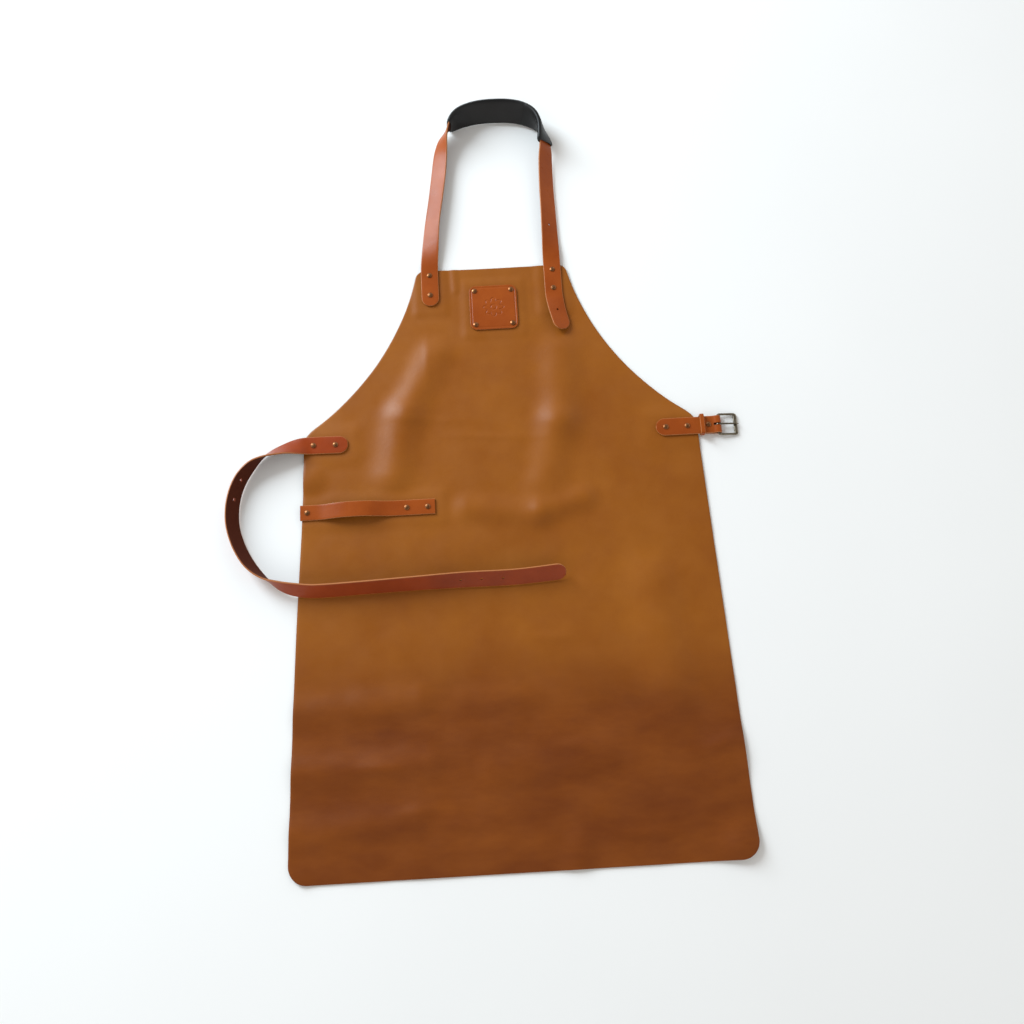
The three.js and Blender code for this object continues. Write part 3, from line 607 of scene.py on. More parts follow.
class StrapLine:
    """The line of a strap that twists along its way."""

    # Half the length over which its direction is taken.
    REACH = 0.5

    def __init__(self, stations, width, thickness):
        table = np.array(stations, dtype=float)
        bank = np.radians(table[:, 3])
        rise = width / 2 * np.abs(np.sin(bank)) + thickness / 2 * np.abs(np.cos(bank))
        knots = np.column_stack([table[:, 0], table[:, 1], table[:, 2] + rise, bank])
        self.rows = spline(knots)
        steps = np.linalg.norm(np.diff(self.rows[:, :3], axis=0), axis=1)
        self.distance = np.concatenate([[0.0], np.cumsum(steps)])
        self.length = self.distance[-1]

    def at(self, distances):
        """The way at distances along the strap."""
        columns = [np.interp(distances, self.distance, column) for column in self.rows.T]
        middle = np.column_stack(columns[:3])
        ends = [[np.interp(distances + reach, self.distance, column) for column in self.rows.T[:3]]
                for reach in (-self.REACH, self.REACH)]
        tangent = np.column_stack(ends[1]) - np.column_stack(ends[0])
        tangent /= np.linalg.norm(tangent, axis=1, keepdims=True)
        level = np.cross(tangent, [0.0, 0.0, 1.0])
        level /= np.linalg.norm(level, axis=1, keepdims=True)
        above = np.cross(level, tangent)
        cos, sin = np.cos(columns[3])[:, None], np.sin(columns[3])[:, None]
        return Way(middle, cos * level + sin * above, cos * above - sin * level)

    def to_station(self, number):
        """The distance along the strap to one of its stations."""
        return self.distance[number * SPLINE_STEPS]


# A section's points: across and up from its middle, and how far each belongs to the edge and the flesh.
Section = namedtuple("Section", "across up edge flesh")
FACE_STEPS = 9
RIM_TURNS = (67.5, 45.0, 22.5, 0.0)


def strap_section(width, thickness, rim):
    """A strap's section with rounded edges, and its grain side up."""
    half, deep = width / 2 - rim, thickness / 2 - rim
    face = np.linspace(-half, half, FACE_STEPS)
    turns = np.radians(RIM_TURNS)
    upper = [(half + rim * math.cos(a), deep + rim * math.sin(a)) for a in turns]
    lower = [(x, -y) for x, y in reversed(upper)]
    right = np.array(upper + lower)
    share = np.linspace(0, 1, len(right))
    across = np.concatenate([face, right[:, 0], face[::-1], -right[:, 0]])
    up = np.concatenate([np.full(FACE_STEPS, deep + rim), right[:, 1],
                         np.full(FACE_STEPS, -deep - rim), right[::-1, 1]])
    edge = np.concatenate([np.zeros(FACE_STEPS), np.ones(len(right))] * 2)
    flesh = np.concatenate([np.zeros(FACE_STEPS), smoothstep(2 * share - 1),
                            np.ones(FACE_STEPS), smoothstep(1 - 2 * share)])
    return Section(across, up, edge, flesh)


def strap_stops(length, half):
    """Distances of a strap's sections, with the share of its width at each: its round ends are narrower."""
    turns = np.radians(np.linspace(TIP_FIRST_TURN, 90, TIP_STEPS))
    tip, share = half * (1 - np.cos(turns)), np.sin(turns)
    body = np.linspace(half, length - half, int((length - half - half) / STRAP_STEP) + 1)
    stops = np.concatenate([tip[:-1], body, length - tip[-2::-1]])
    widths = np.concatenate([share[:-1], np.ones_like(body), share[-2::-1]])
    return stops, widths


def ring_points(way, across, up):
    """Points round each section of a way. across and up hold a row for each section."""
    return (way.middle[:, None] + across[..., None] * way.across[:, None]
            + up[..., None] * way.normal[:, None])


def ring_mesh(name, rings, values=None, closed=False):
    """A mesh of rings of points, with end faces on an open row of rings."""
    count, sides = rings.shape[:2]
    corners = np.arange(count * sides).reshape(count, sides)
    corners = np.hstack([corners, corners[:, :1]])
    if closed:
        corners = np.vstack([corners, corners[:1]])
    faces = grid_faces(corners).tolist()
    if not closed:
        faces += [corners[0, -2::-1].tolist(), corners[-1, :-1].tolist()]
    return make_mesh(name, rings.reshape(-1, 3), faces, values)


def strap_mesh(name, way, section, stops, widths, rim):
    """A strap along its way, with its tips rounded over."""
    near = np.minimum(stops - stops[0], stops[-1] - stops)
    tip = np.where(widths < 1, np.clip(1 - near / rim, 0, 1), 0)
    deep = np.sqrt(1 - np.minimum(tip, TIP_ROUND) ** 2)
    rings = ring_points(way, np.outer(widths, section.across), np.outer(deep, section.up))
    edge = np.maximum(section.edge, tip[:, None])
    values = {"edge": edge.ravel(), "flesh": np.tile(section.flesh, len(stops))}
    return ring_mesh(name, rings, values)


def feed(tree, node, inputs):
    """Gives a node's inputs values, or links from sockets or from other nodes' first output in use."""
    for key, value in inputs.items():
        for source in value if isinstance(value, list) else [value]:
            if isinstance(source, bpy.types.Node):
                source = next(socket for socket in source.outputs if socket.enabled)
            if isinstance(source, bpy.types.NodeSocket):
                tree.links.new(source, node.inputs[key])
            else:
                node.inputs[key].default_value = source


# The Mix node's colour sockets share their names with its other sockets, so they go by number.
MIX_SHARE, MIX_A, MIX_B = 0, 6, 7


def add_node(tree, kind, inputs=None, **settings):
    """Adds a node, sets its properties and feeds its inputs."""
    node = tree.nodes.new(kind)
    for key, value in settings.items():
        setattr(node, key, value)
    feed(tree, node, inputs or {})
    return node


def new_tree(name, inputs):
    """A Geometry Nodes tree with named inputs, and the sockets that they arrive at."""
    tree = bpy.data.node_groups.new(name, "GeometryNodeTree")
    tree.interface.new_socket("Geometry", in_out="INPUT", socket_type="NodeSocketGeometry")
    for label, kind in inputs.items():
        tree.interface.new_socket(label, in_out="INPUT", socket_type=kind)
    tree.interface.new_socket("Geometry", in_out="OUTPUT", socket_type="NodeSocketGeometry")
    return tree, add_node(tree, "NodeGroupInput").outputs


def run_tree(tree, mesh, values):
    """The plain mesh that a tree makes from a mesh of points."""
    carrier = loose_object("carrier", mesh)
    modifier = carrier.modifiers.new("nodes", "NODES")
    modifier.node_group = tree
    for item in tree.interface.items_tree:
        if item.name in values:
            modifier[item.identifier] = values[item.name]
    return take_mesh(carrier)


def hole_tree():
    """Round cutters on points, each along its point's axis."""
    tree, given = new_tree("punch", {
        "Radius": "NodeSocketFloat", "Length": "NodeSocketFloat", "Material": "NodeSocketMaterial"})
    pin = add_node(tree, "GeometryNodeMeshCylinder", {
        "Vertices": PUNCH_SIDES, "Radius": given["Radius"], "Depth": given["Length"]})
    axis = add_node(tree, "GeometryNodeInputNamedAttribute", {"Name": "axis"}, data_type="FLOAT_VECTOR")
    turn = add_node(tree, "FunctionNodeAlignRotationToVector", {"Vector": axis}, axis="Z")
    pins = add_node(tree, "GeometryNodeInstanceOnPoints", {
        "Points": given["Geometry"], "Instance": pin, "Rotation": turn})
    real = add_node(tree, "GeometryNodeRealizeInstances", {"Geometry": pins})
    painted = add_node(tree, "GeometryNodeSetMaterial", {"Geometry": real, "Material": given["Material"]})
    add_node(tree, "NodeGroupOutput", {"Geometry": painted})
    return tree


def punch(mesh, line, holes, radius, length, material):
    """A strap's mesh with round holes through it, at distances from its last station."""
    way = line.at(line.length - np.array(holes, dtype=float))
    points = bpy.data.meshes.new("holes")
    points.from_pydata((way.middle * MM).tolist(), [], [])
    axis = points.attributes.new("axis", "FLOAT_VECTOR", "POINT")
    axis.data.foreach_set("vector", way.normal.astype(np.float32).ravel())
    cutters = run_tree(hole_tree(), points, {"Radius": radius, "Length": length, "Material": material})
    return carve(mesh, cutters)


def rivet_tree():
    """Rivets on points: a domed cap, a shank of its point's length, and a flat back."""
    lengths = ["Cap radius", "Rim height", "Dome height", "Shank radius", "Back radius", "Back thickness"]
    tree, given = new_tree("rivets", {
        **dict.fromkeys(lengths, "NodeSocketFloat"), "Material": "NodeSocketMaterial"})
    points = given["Geometry"]

    # The cap is a disc whose top rises towards its middle.
    disc = add_node(tree, "GeometryNodeMeshCylinder", {
        "Vertices": RIVET_SIDES, "Fill Segments": RIVET_RINGS,
        "Radius": given["Cap radius"], "Depth": given["Rim height"]})
    place = add_node(tree, "GeometryNodeInputPosition")
    level = add_node(tree, "ShaderNodeVectorMath", {0: place, 1: (1, 1, 0)}, operation="MULTIPLY")
    out = add_node(tree, "ShaderNodeVectorMath", {0: level}, operation="LENGTH")
    share = add_node(tree, "ShaderNodeMath", {0: out, 1: given["Cap radius"]}, operation="DIVIDE")
    fall = add_node(tree, "ShaderNodeMath", {0: share, 1: RIVET_FALL}, operation="POWER")
    inner = add_node(tree, "ShaderNodeMath", {0: 1.0, 1: fall}, operation="SUBTRACT")
    rise = add_node(tree, "ShaderNodeMath", {0: inner, 1: given["Dome height"]}, operation="MULTIPLY")
    dome = add_node(tree, "GeometryNodeSetPosition", {
        "Geometry": disc, "Selection": disc.outputs["Top"],
        "Offset": add_node(tree, "ShaderNodeCombineXYZ", {"Z": rise})})
    half_rim = add_node(tree, "ShaderNodeMath", {0: given["Rim height"], 1: 0.5}, operation="MULTIPLY")
    cap = add_node(tree, "GeometryNodeTransform", {
        "Geometry": dome, "Translation": add_node(tree, "ShaderNodeCombineXYZ", {"Z": half_rim})})
    lean = add_node(tree, "FunctionNodeRandomValue", {
        0: (-RIVET_LEAN, -RIVET_LEAN, 0.0), 1: (RIVET_LEAN, RIVET_LEAN, RIVET_TURN),
        "Seed": RIVET_SEED}, data_type="FLOAT_VECTOR")
    caps = add_node(tree, "GeometryNodeInstanceOnPoints", {
        "Points": points, "Instance": cap, "Rotation": lean})

    # The shank hangs from its point and is stretched to that point's length.
    pin = add_node(tree, "GeometryNodeMeshCylinder", {
        "Vertices": RIVET_SIDES // 2, "Radius": given["Shank radius"], "Depth": 1.0})
    hung = add_node(tree, "GeometryNodeTransform", {"Geometry": pin, "Translation": (0, 0, -0.5)})
    length = add_node(tree, "GeometryNodeInputNamedAttribute", {"Name": "shank"}, data_type="FLOAT")
    stretch = add_node(tree, "ShaderNodeCombineXYZ", {"X": 1.0, "Y": 1.0, "Z": length})
    shanks = add_node(tree, "GeometryNodeInstanceOnPoints", {
        "Points": points, "Instance": hung, "Scale": stretch})

    # The back is a flat disc at the shank's foot.
    down = add_node(tree, "ShaderNodeMath", {0: length, 1: -1.0}, operation="MULTIPLY")
    feet = add_node(tree, "GeometryNodeSetPosition", {
        "Geometry": points, "Offset": add_node(tree, "ShaderNodeCombineXYZ", {"Z": down})})
    back = add_node(tree, "GeometryNodeMeshCylinder", {
        "Vertices": RIVET_SIDES, "Radius": given["Back radius"], "Depth": given["Back thickness"]})
    backs = add_node(tree, "GeometryNodeInstanceOnPoints", {"Points": feet, "Instance": back})

    joined = add_node(tree, "GeometryNodeJoinGeometry", {"Geometry": [caps, shanks, backs]})
    real = add_node(tree, "GeometryNodeRealizeInstances", {"Geometry": joined})
    painted = add_node(tree, "GeometryNodeSetMaterial", {"Geometry": real, "Material": given["Material"]})
    add_node(tree, "NodeGroupOutput", {"Geometry": painted})
    return tree


def rgba(colour, share=1.0):
    """A colour with its alpha, darker or lighter by a share."""
    return (*(share * channel for channel in colour), 1)


def new_material(name):
    """A material with its tree, its shader and the piece's own coordinates."""
    material = bpy.data.materials.new(name)
    material.use_nodes = True
    tree = material.node_tree
    place = add_node(tree, "ShaderNodeTexCoord").outputs["Object"]
    return material, tree, tree.nodes["Principled BSDF"], place


def cloudy(tree, place, dark, light, cloud):
    """A colour that drifts between two tones, in clouds of a size in millimetres."""
    clouds = add_node(tree, "ShaderNodeTexNoise", {
        "Vector": place, "Scale": per_mm(cloud), "Detail": 5.0, "Roughness": 0.6})
    share = add_node(tree, "ShaderNodeMapRange", {"Value": clouds, "From Min": 0.3, "From Max": 0.7})
    return add_node(tree, "ShaderNodeMix", {
        MIX_SHARE: share, MIX_A: rgba(dark), MIX_B: rgba(light)}, data_type="RGBA")


def tone_and_shade_towards_hem(tree, place, grain, skirt):
    """The grain's colour, turning into the skirt's darker tones towards the hem in bands: partly the hide's
    own tone and partly painted shade.
    """
    stretched = add_node(tree, "ShaderNodeMapping", {"Vector": place, "Scale": BAND_STRETCH})
    bands = cloudy(tree, stretched, *skirt, BAND_HEIGHT)
    along = add_node(tree, "ShaderNodeSeparateXYZ", {"Vector": place}).outputs["Y"]
    drift = add_node(tree, "ShaderNodeTexNoise", {
        "Vector": place, "Scale": per_mm(SKIRT_DRIFT), "Detail": 2.0})
    wander = add_node(tree, "ShaderNodeMath", {
        0: drift, 1: SKIRT_WANDER * MM, 2: along}, operation="MULTIPLY_ADD")
    share = add_node(tree, "ShaderNodeMapRange", {
        "Value": wander, "From Min": SKIRT_TOP * MM, "From Max": SKIRT_FULL * MM},
        interpolation_type="SMOOTHSTEP")
    return add_node(tree, "ShaderNodeMix", {
        MIX_SHARE: share, MIX_A: grain, MIX_B: bands}, data_type="RGBA")


def leather(name, dark, light, edge, flesh, cloud, pore, roughness, gloss, skirt=None):
    """Smooth grain leather: cloudy colour, fine pores, a plain cut edge and a fibrous flesh side.

    cloud and pore are sizes in millimetres, roughness a low and a high value, gloss how strongly the
    finish reflects, and skirt the dark and the light tone that the panel turns to towards the hem, partly
    the hide's own tone and partly painted shade.
    Real pores and fibres are too fine to show, so both are drawn coarser."""
    material, tree, shader, place = new_material(name)
    grain = cloudy(tree, place, dark, light, cloud)
    if skirt:
        grain = tone_and_shade_towards_hem(tree, place, grain, skirt)
    edge_share = add_node(tree, "ShaderNodeAttribute", attribute_name="edge").outputs["Fac"]
    flesh_share = add_node(tree, "ShaderNodeAttribute", attribute_name="flesh").outputs["Fac"]
    cut = add_node(tree, "ShaderNodeMix", {
        MIX_SHARE: edge_share, MIX_A: grain, MIX_B: rgba(edge)}, data_type="RGBA")
    fibres = add_node(tree, "ShaderNodeTexNoise", {
        "Vector": place, "Scale": per_mm(FIBRE), "Detail": 6.0, "Roughness": 0.7})
    nap = add_node(tree, "ShaderNodeMix", {
        MIX_SHARE: fibres, MIX_A: rgba(flesh, NAP_DARK), MIX_B: rgba(flesh, NAP_LIGHT)}, data_type="RGBA")
    colour = add_node(tree, "ShaderNodeMix", {
        MIX_SHARE: flesh_share, MIX_A: cut, MIX_B: nap}, data_type="RGBA")
    worn = add_node(tree, "ShaderNodeTexNoise", {
        "Vector": place, "Scale": per_mm(cloud / 3), "Detail": 4.0, "Roughness": 0.6})
    satin = add_node(tree, "ShaderNodeMapRange", {
        "Value": worn, "From Min": 0.3, "From Max": 0.7, "To Min": roughness[0], "To Max": roughness[1]})
    dull = add_node(tree, "ShaderNodeMath", {0: flesh_share, 1: satin}, operation="MAXIMUM")
    pores = add_node(tree, "ShaderNodeTexVoronoi", {
        "Vector": place, "Scale": per_mm(pore), "Smoothness": 0.6}, feature="SMOOTH_F1")
    wrinkles = add_node(tree, "ShaderNodeTexNoise", {
        "Vector": place, "Scale": per_mm(pore * WRINKLE_PORES), "Detail": 4.0, "Roughness": 0.6,
        "Distortion": 1.2})
    fine = add_node(tree, "ShaderNodeBump", {
        "Strength": 0.35, "Distance": PORE_DEPTH * MM, "Height": pores})
    soft = add_node(tree, "ShaderNodeBump", {
        "Strength": 0.4, "Distance": WRINKLE_DEPTH * MM, "Height": wrinkles, "Normal": fine})
    feed(tree, shader, {
        "Base Color": colour, "Roughness": dull, "Specular IOR Level": gloss, "Normal": soft})
    return material


def panel_leather(colours):
    """Oiled full-grain cowhide, drum dyed tan: satin, softly mottled, with a lighter cut edge."""
    return leather("oiled_tan_cowhide", colours.panel_dark, colours.panel_light,
                   edge=hex_linear("#966437"), flesh=hex_linear("#7A5838"),
                   cloud=120, pore=1.8, roughness=(0.34, 0.46), gloss=0.23,
                   # The skirt's darker, redder tones are partly the hide's own and partly painted shade.
                   skirt=(colours.skirt_tone_and_shade_dark, colours.skirt_tone_and_shade_light))


def strap_leather(colours):
    """Smooth reddish harness leather with burnished edges: firm, evenly dyed and slightly waxy."""
    return leather("burnished_harness_leather", colours.strap_dark, colours.strap_light,
                   edge=hex_linear("#AB6C41"), flesh=hex_linear("#4F2312"),
                   cloud=60, pore=1.4, roughness=(0.26, 0.36), gloss=0.15)


def shaded_strap_leather(colours):
    """The same harness leather, darker and redder: painted shade for the waist strap, which lies tilted
    into shade.
    """
    return leather("harness_leather_painted_shade", colours.waist_shade_dark, colours.waist_shade_light,
                   edge=hex_linear("#AB6C41"), flesh=hex_linear("#4B1F0F"),
                   cloud=60, pore=1.4, roughness=(0.28, 0.38), gloss=0.19)


def black_leather(colours):
    """Black dyed calf: tight grain with a low sheen."""
    tone = Vector(colours.black)
    return leather("black_calf", dark=tone * 0.8, light=tone * 1.2,
                   edge=hex_linear("#171618"), flesh=hex_linear("#24211D"),
                   cloud=40, pore=1.2, roughness=(0.34, 0.44), gloss=0.27)


def aged_metal(name, colour, tarnish, spot, roughness):
    """Plated metal that has darkened with handling: spots of tarnish, and a shine that varies with them.

    spot is their size in millimetres. Real pits are too fine to show, so they are drawn coarser."""
    material, tree, shader, place = new_material(name)
    spots = add_node(tree, "ShaderNodeTexNoise", {
        "Vector": place, "Scale": per_mm(spot), "Detail": 5.0, "Roughness": 0.65})
    share = add_node(tree, "ShaderNodeMapRange", {"Value": spots, "From Min": 0.4, "From Max": 0.68})
    tone = add_node(tree, "ShaderNodeMix", {
        MIX_SHARE: share, MIX_A: rgba(colour), MIX_B: rgba(tarnish)}, data_type="RGBA")
    shine = add_node(tree, "ShaderNodeMapRange", {
        "Value": spots, "From Min": 0.35, "From Max": 0.7, "To Min": roughness[0], "To Max": roughness[1]})
    pits = add_node(tree, "ShaderNodeTexNoise", {"Vector": place, "Scale": per_mm(spot / 4), "Detail": 3.0})
    bump = add_node(tree, "ShaderNodeBump", {
        "Strength": 0.15, "Distance": PIT_DEPTH * MM, "Height": pits})
    feed(tree, shader, {"Base Color": tone, "Roughness": shine, "Metallic": 1.0, "Normal": bump})
    return material


def antique_nickel(colours):
    """Cast zinc with antique nickel plate: warm grey, with spots of tarnish."""
    return aged_metal("antique_nickel_plate", colours.nickel, tarnish=hex_linear("#443D33"),
                      spot=5, roughness=(0.26, 0.46))


def antique_brass(colours):
    """Stamped brass rivet caps, antiqued: brown in spots of tarnish."""
    return aged_metal("antique_brass", colours.brass, tarnish=hex_linear("#5E3720"),
                      spot=2.2, roughness=(0.34, 0.52))


def floor_paint():
    """Matt white painted board: even and pale."""
    material, tree, shader, place = new_material("matt_white_board")
    cloud = add_node(tree, "ShaderNodeTexNoise", {
        "Vector": place, "Scale": per_mm(FLOOR_CLOUD), "Detail": 2.0})
    dark, light = hex_linear("#F1F0EE"), hex_linear("#F6F5F3")
    tone = add_node(tree, "ShaderNodeMix", {
        MIX_SHARE: cloud, MIX_A: rgba(dark), MIX_B: rgba(light)}, data_type="RGBA")
    feed(tree, shader, {"Base Color": tone, "Roughness": 0.9})
    return material


class APRON_OT_stage(bpy.types.Operator):
    """Adds the floor, the light and the camera."""

    bl_idname = "apron.stage"
    bl_label = "Stage"

    FLOOR_REACH = 30.0
    FLOOR_DROP = 0.2 * MM
    WINDOW_WIDTH, WINDOW_HEIGHT = 1.28, 2.08
    WINDOW_COLOUR = (0.8, 0.915, 1.0)
    ROOM_COLOUR = (1.0, 0.985, 0.96)
    # The ceiling is darker than the walls: from which height of view, fully from which, and by how much.
    CEILING_FROM, CEILING_FULL, CEILING_SHARE = 0.5, 0.85, 0.25

    def execute(self, context):
        stage = context.scene.apron_stage
        reach, drop = self.FLOOR_REACH, -self.FLOOR_DROP
        floor_mesh = bpy.data.meshes.new("floor")
        corners = [(-reach, -reach), (reach, -reach), (reach, reach), (-reach, reach)]
        floor_mesh.from_pydata([(x, y, drop) for x, y in corners], [], [(0, 1, 2, 3)])
        floor_mesh.materials.append(floor_paint())
        loose_object("floor", floor_mesh)

        window = bpy.data.lights.new("window", "AREA")
        window.shape = "RECTANGLE"
        window.size, window.size_y = self.WINDOW_WIDTH, self.WINDOW_HEIGHT
        window.energy = stage.window_power
        window.color = self.WINDOW_COLOUR
        lamp = loose_object("window", window)
        lamp.location = stage.window_place
        lamp.rotation_euler = (-Vector(stage.window_place)).to_track_quat("-Z", "Y").to_euler()

        world = bpy.data.worlds.new("studio")
        world.use_nodes = True
        tree = world.node_tree
        heading = add_node(tree, "ShaderNodeTexCoord").outputs["Generated"]
        height = add_node(tree, "ShaderNodeSeparateXYZ", {"Vector": heading}).outputs["Z"]
        strength = add_node(tree, "ShaderNodeMapRange", {
            "Value": height, "From Min": self.CEILING_FROM, "From Max": self.CEILING_FULL,
            "To Min": stage.room_light, "To Max": stage.room_light * self.CEILING_SHARE},
            interpolation_type="SMOOTHSTEP")
        feed(tree, tree.nodes["Background"], {"Color": rgba(self.ROOM_COLOUR), "Strength": strength})
        context.scene.world = world
        context.scene.view_settings.view_transform = "Standard"

        lens = bpy.data.cameras.new("camera")
        lens.lens = stage.camera_lens
        camera = loose_object("camera", lens)
        camera.location = stage.camera_place
        camera.rotation_euler = (math.pi / 2 - stage.camera_pitch, 0, -stage.camera_heading)
        context.scene.camera = camera
        return {"FINISHED"}


class APRON_OT_panel(bpy.types.Operator):
    """Makes the apron's panel with its folds and ripples."""

    bl_idname = "apron.panel"
    bl_label = "Panel"

    def execute(self, context):
        sizes = context.scene.apron_sizes
        ripple = sizes.ripple / MM
        rows = panel_rows()
        mesh = sheet_mesh("panel", rows, panel_half_width, PANEL_CELLS, sizes.panel_rim / MM,
                          lambda x, y: back_height(x, y, ripple), sizes.panel_thickness / MM,
                          draw=left_draw)
        material = panel_leather(context.scene.apron_colours)
        panel = place_piece("panel", mesh, material, nodes=["apron_panel"])
        return {"FINISHED"}


class APRON_OT_patch(bpy.types.Operator):
    """Makes the bib's patch with its pressed border and rosette."""

    bl_idname = "apron.patch"
    bl_label = "Patch"

    CORNER = 10.0
    STEP = 0.4
    RIM = 0.6
    BORDER_INSET, BORDER_WIDTH = 3.2, 1.3
    ROSETTE_RADIUS, ROSETTE_PETALS, ROSETTE_LINE = 15.0, 8, 1.5
    # How far the rosette draws in between its petals, and the size of the ring within it.
    PETAL_DIP, RING_SHARE = 0.38, 0.28

    def pressed(self, x, y, depth):
        """How deep the stamp goes at each place."""
        half = (PATCH_HIGH.x - PATCH_LOW.x) / 2
        out_x = np.abs(x) - half + self.CORNER
        out_y = np.abs(y) - half + self.CORNER
        outside = np.hypot(np.maximum(out_x, 0), np.maximum(out_y, 0)) - self.CORNER
        inset = -(outside + np.minimum(np.maximum(out_x, out_y), 0))
        border = np.abs(inset - self.BORDER_INSET) / self.BORDER_WIDTH
        radius, heading = np.hypot(x, y), np.arctan2(y, x)
        dip = 1 - np.abs(np.cos(self.ROSETTE_PETALS / 2 * heading))
        line = np.abs(radius - self.ROSETTE_RADIUS * (1 - self.PETAL_DIP * dip)) / self.ROSETTE_LINE
        ring = np.abs(radius - self.ROSETTE_RADIUS * self.RING_SHARE) / self.ROSETTE_LINE
        return depth * (1 - smoothstep(np.minimum(np.minimum(border, line), ring)))

    def execute(self, context):
        middle = (PATCH_LOW + PATCH_HIGH) / 2
        half = (PATCH_HIGH.y - PATCH_LOW.y) / 2
        depth = context.scene.apron_sizes.stamp_depth / MM
        corner = self.CORNER * CORNER_TURNS
        straight = half - self.CORNER
        flat = np.arange(-straight + self.STEP, straight - self.STEP / 2, self.STEP)
        rows = np.concatenate([-half + corner, flat, half - corner[::-1]])
        mesh = sheet_mesh(
            "patch", rows, lambda y: half - corner_inset(half - np.abs(y), self.CORNER),
            int(2 * half / self.STEP), self.RIM, lambda x, y: np.full_like(x, PATCH_LOW.z),
            PATCH_HIGH.z - PATCH_LOW.z, lambda x, y: self.pressed(x, y, depth))
        mesh.transform(Matrix.Translation((middle.x * MM, middle.y * MM, 0)))
        place_piece("patch", mesh, strap_leather(context.scene.apron_colours))
        return {"FINISHED"}


def strap_sizes(context):
    """The straps' width, thickness and rim in millimetres."""
    sizes = context.scene.apron_sizes
    return [size / MM for size in (sizes.strap_width, sizes.strap_thickness, sizes.strap_rim)]


def add_strap(context, name, stations, holes, look):
    """Adds one of the long straps that twist along their way, with its punched holes."""
    width, thickness, rim = strap_sizes(context)
    line = StrapLine(stations, width, thickness)
    stops, widths = strap_stops(line.length, width / 2)
    mesh = strap_mesh(name, line.at(stops), strap_section(width, thickness, rim), stops, widths, rim)
    material = look(context.scene.apron_colours)
    mesh = punch(mesh, line, holes, context.scene.apron_sizes.hole_radius, PUNCH_REACH * MM, material)
    place_piece(name, mesh, material)


class APRON_OT_long_straps(bpy.types.Operator):
    """Makes the neck strap and the waist strap."""

    bl_idname = "apron.long_straps"
    bl_label = "Neck and waist straps"

    def execute(self, context):
        add_strap(context, "neck_strap", NECK_STATIONS, NECK_HOLES, strap_leather)
        # The waist strap takes a darker, redder copy of the strap leather as painted shade.
        add_strap(context, "waist_strap", WAIST_STATIONS, WAIST_HOLES, shaded_strap_leather)
        return {"FINISHED"}


class APRON_OT_neck_sleeve(bpy.types.Operator):
    """Makes the flattened black sleeve round the neck strap."""

    bl_idname = "apron.neck_sleeve"
    bl_label = "Neck sleeve"

    SIDES = 40
    STEP = 1.2
    ROOM, WALL = 1.7, 1.5
    RIM, RIM_INSET = 0.6, 0.08
    START_REACH, END_REACH = 2.0, -7.0
    CORNER, CORNER_INSET = 5.0, 0.12
    CREASE_AT, CREASE_WIDTH, CREASE_DEPTH = 0.66, 1.8, 0.16
    # Powers that flatten its section: 1 would make it an ellipse.
    FLAT_ACROSS, FLAT_UP = 0.7, 0.55

    def flat_ring(self, half, deep):
        """A flattened ring with thin edges."""
        turn = np.linspace(0, 2 * math.pi, self.SIDES, endpoint=False)
        cos, sin = np.cos(turn), np.sin(turn)
        across = half * np.sign(cos) * np.abs(cos) ** self.FLAT_ACROSS
        up = deep * np.sign(sin) * np.abs(sin) ** self.FLAT_UP
        return across, up

    def execute(self, context):
        width, thickness, _ = strap_sizes(context)
        line = StrapLine(NECK_STATIONS, width, thickness)
        start = line.to_station(SLEEVE_FROM) - self.START_REACH
        end = line.to_station(SLEEVE_TO) + self.END_REACH
        stops = np.linspace(start, end, int((end - start) / self.STEP) + 1)
        near = np.minimum(stops - start, end - stops)
        room = width / 2 + self.ROOM, thickness / 2 + self.ROOM
        half = context.scene.apron_sizes.sleeve_width / MM / 2
        outer_across, outer_up = self.flat_ring(half, room[1] + self.WALL)
        inner_across, inner_up = self.flat_ring(*room)
        corner = 1 - self.CORNER_INSET * np.clip(1 - near / self.CORNER, 0, 1) ** 2
        from_crease = (stops - start - self.CREASE_AT * (end - start)) / self.CREASE_WIDTH
        crease = 1 - self.CREASE_DEPTH * np.exp(-from_crease ** 2)
        rim = 1 - self.RIM_INSET * np.clip(1 - near / self.RIM, 0, 1)
        way = line.at(stops)
        ones = np.ones(len(stops))
        outside = ring_points(way, np.outer(corner, outer_across), np.outer(crease * rim, outer_up))
        inside = ring_points(way, np.outer(ones, inner_across), np.outer(ones, inner_up))
        rings = np.concatenate([outside, inside[::-1]])
        flesh = np.repeat([0.0, 1.0], len(stops) * self.SIDES)
        mesh = ring_mesh("neck_sleeve", rings, {"flesh": flesh}, closed=True)
        place_piece("neck_sleeve", mesh, black_leather(context.scene.apron_colours))
        return {"FINISHED"}


def bezier(a, b, c, d, steps=16):
    """Points along a curve from a to d, without a itself."""
    t = np.linspace(0, 1, steps + 1)[1:, None]
    a, b, c, d = (np.array(p, dtype=float) for p in (a, b, c, d))
    return (1 - t) ** 3 * a + 3 * (1 - t) ** 2 * t * b + 3 * (1 - t) * t ** 2 * c + t ** 3 * d


def even_line(points, step):
    """Points at even steps along a line in the X and Z plane, and their distances."""
    points = np.vstack(points)
    apart = np.concatenate([[True], np.linalg.norm(np.diff(points, axis=0), axis=1) > SAME_POINT])
    points = points[apart]
    distance = np.concatenate([[0.0], np.cumsum(np.linalg.norm(np.diff(points, axis=0), axis=1))])
    stops = np.linspace(0, distance[-1], int(distance[-1] / step) + 1)
    return np.column_stack([np.interp(stops, distance, column) for column in points.T]), stops


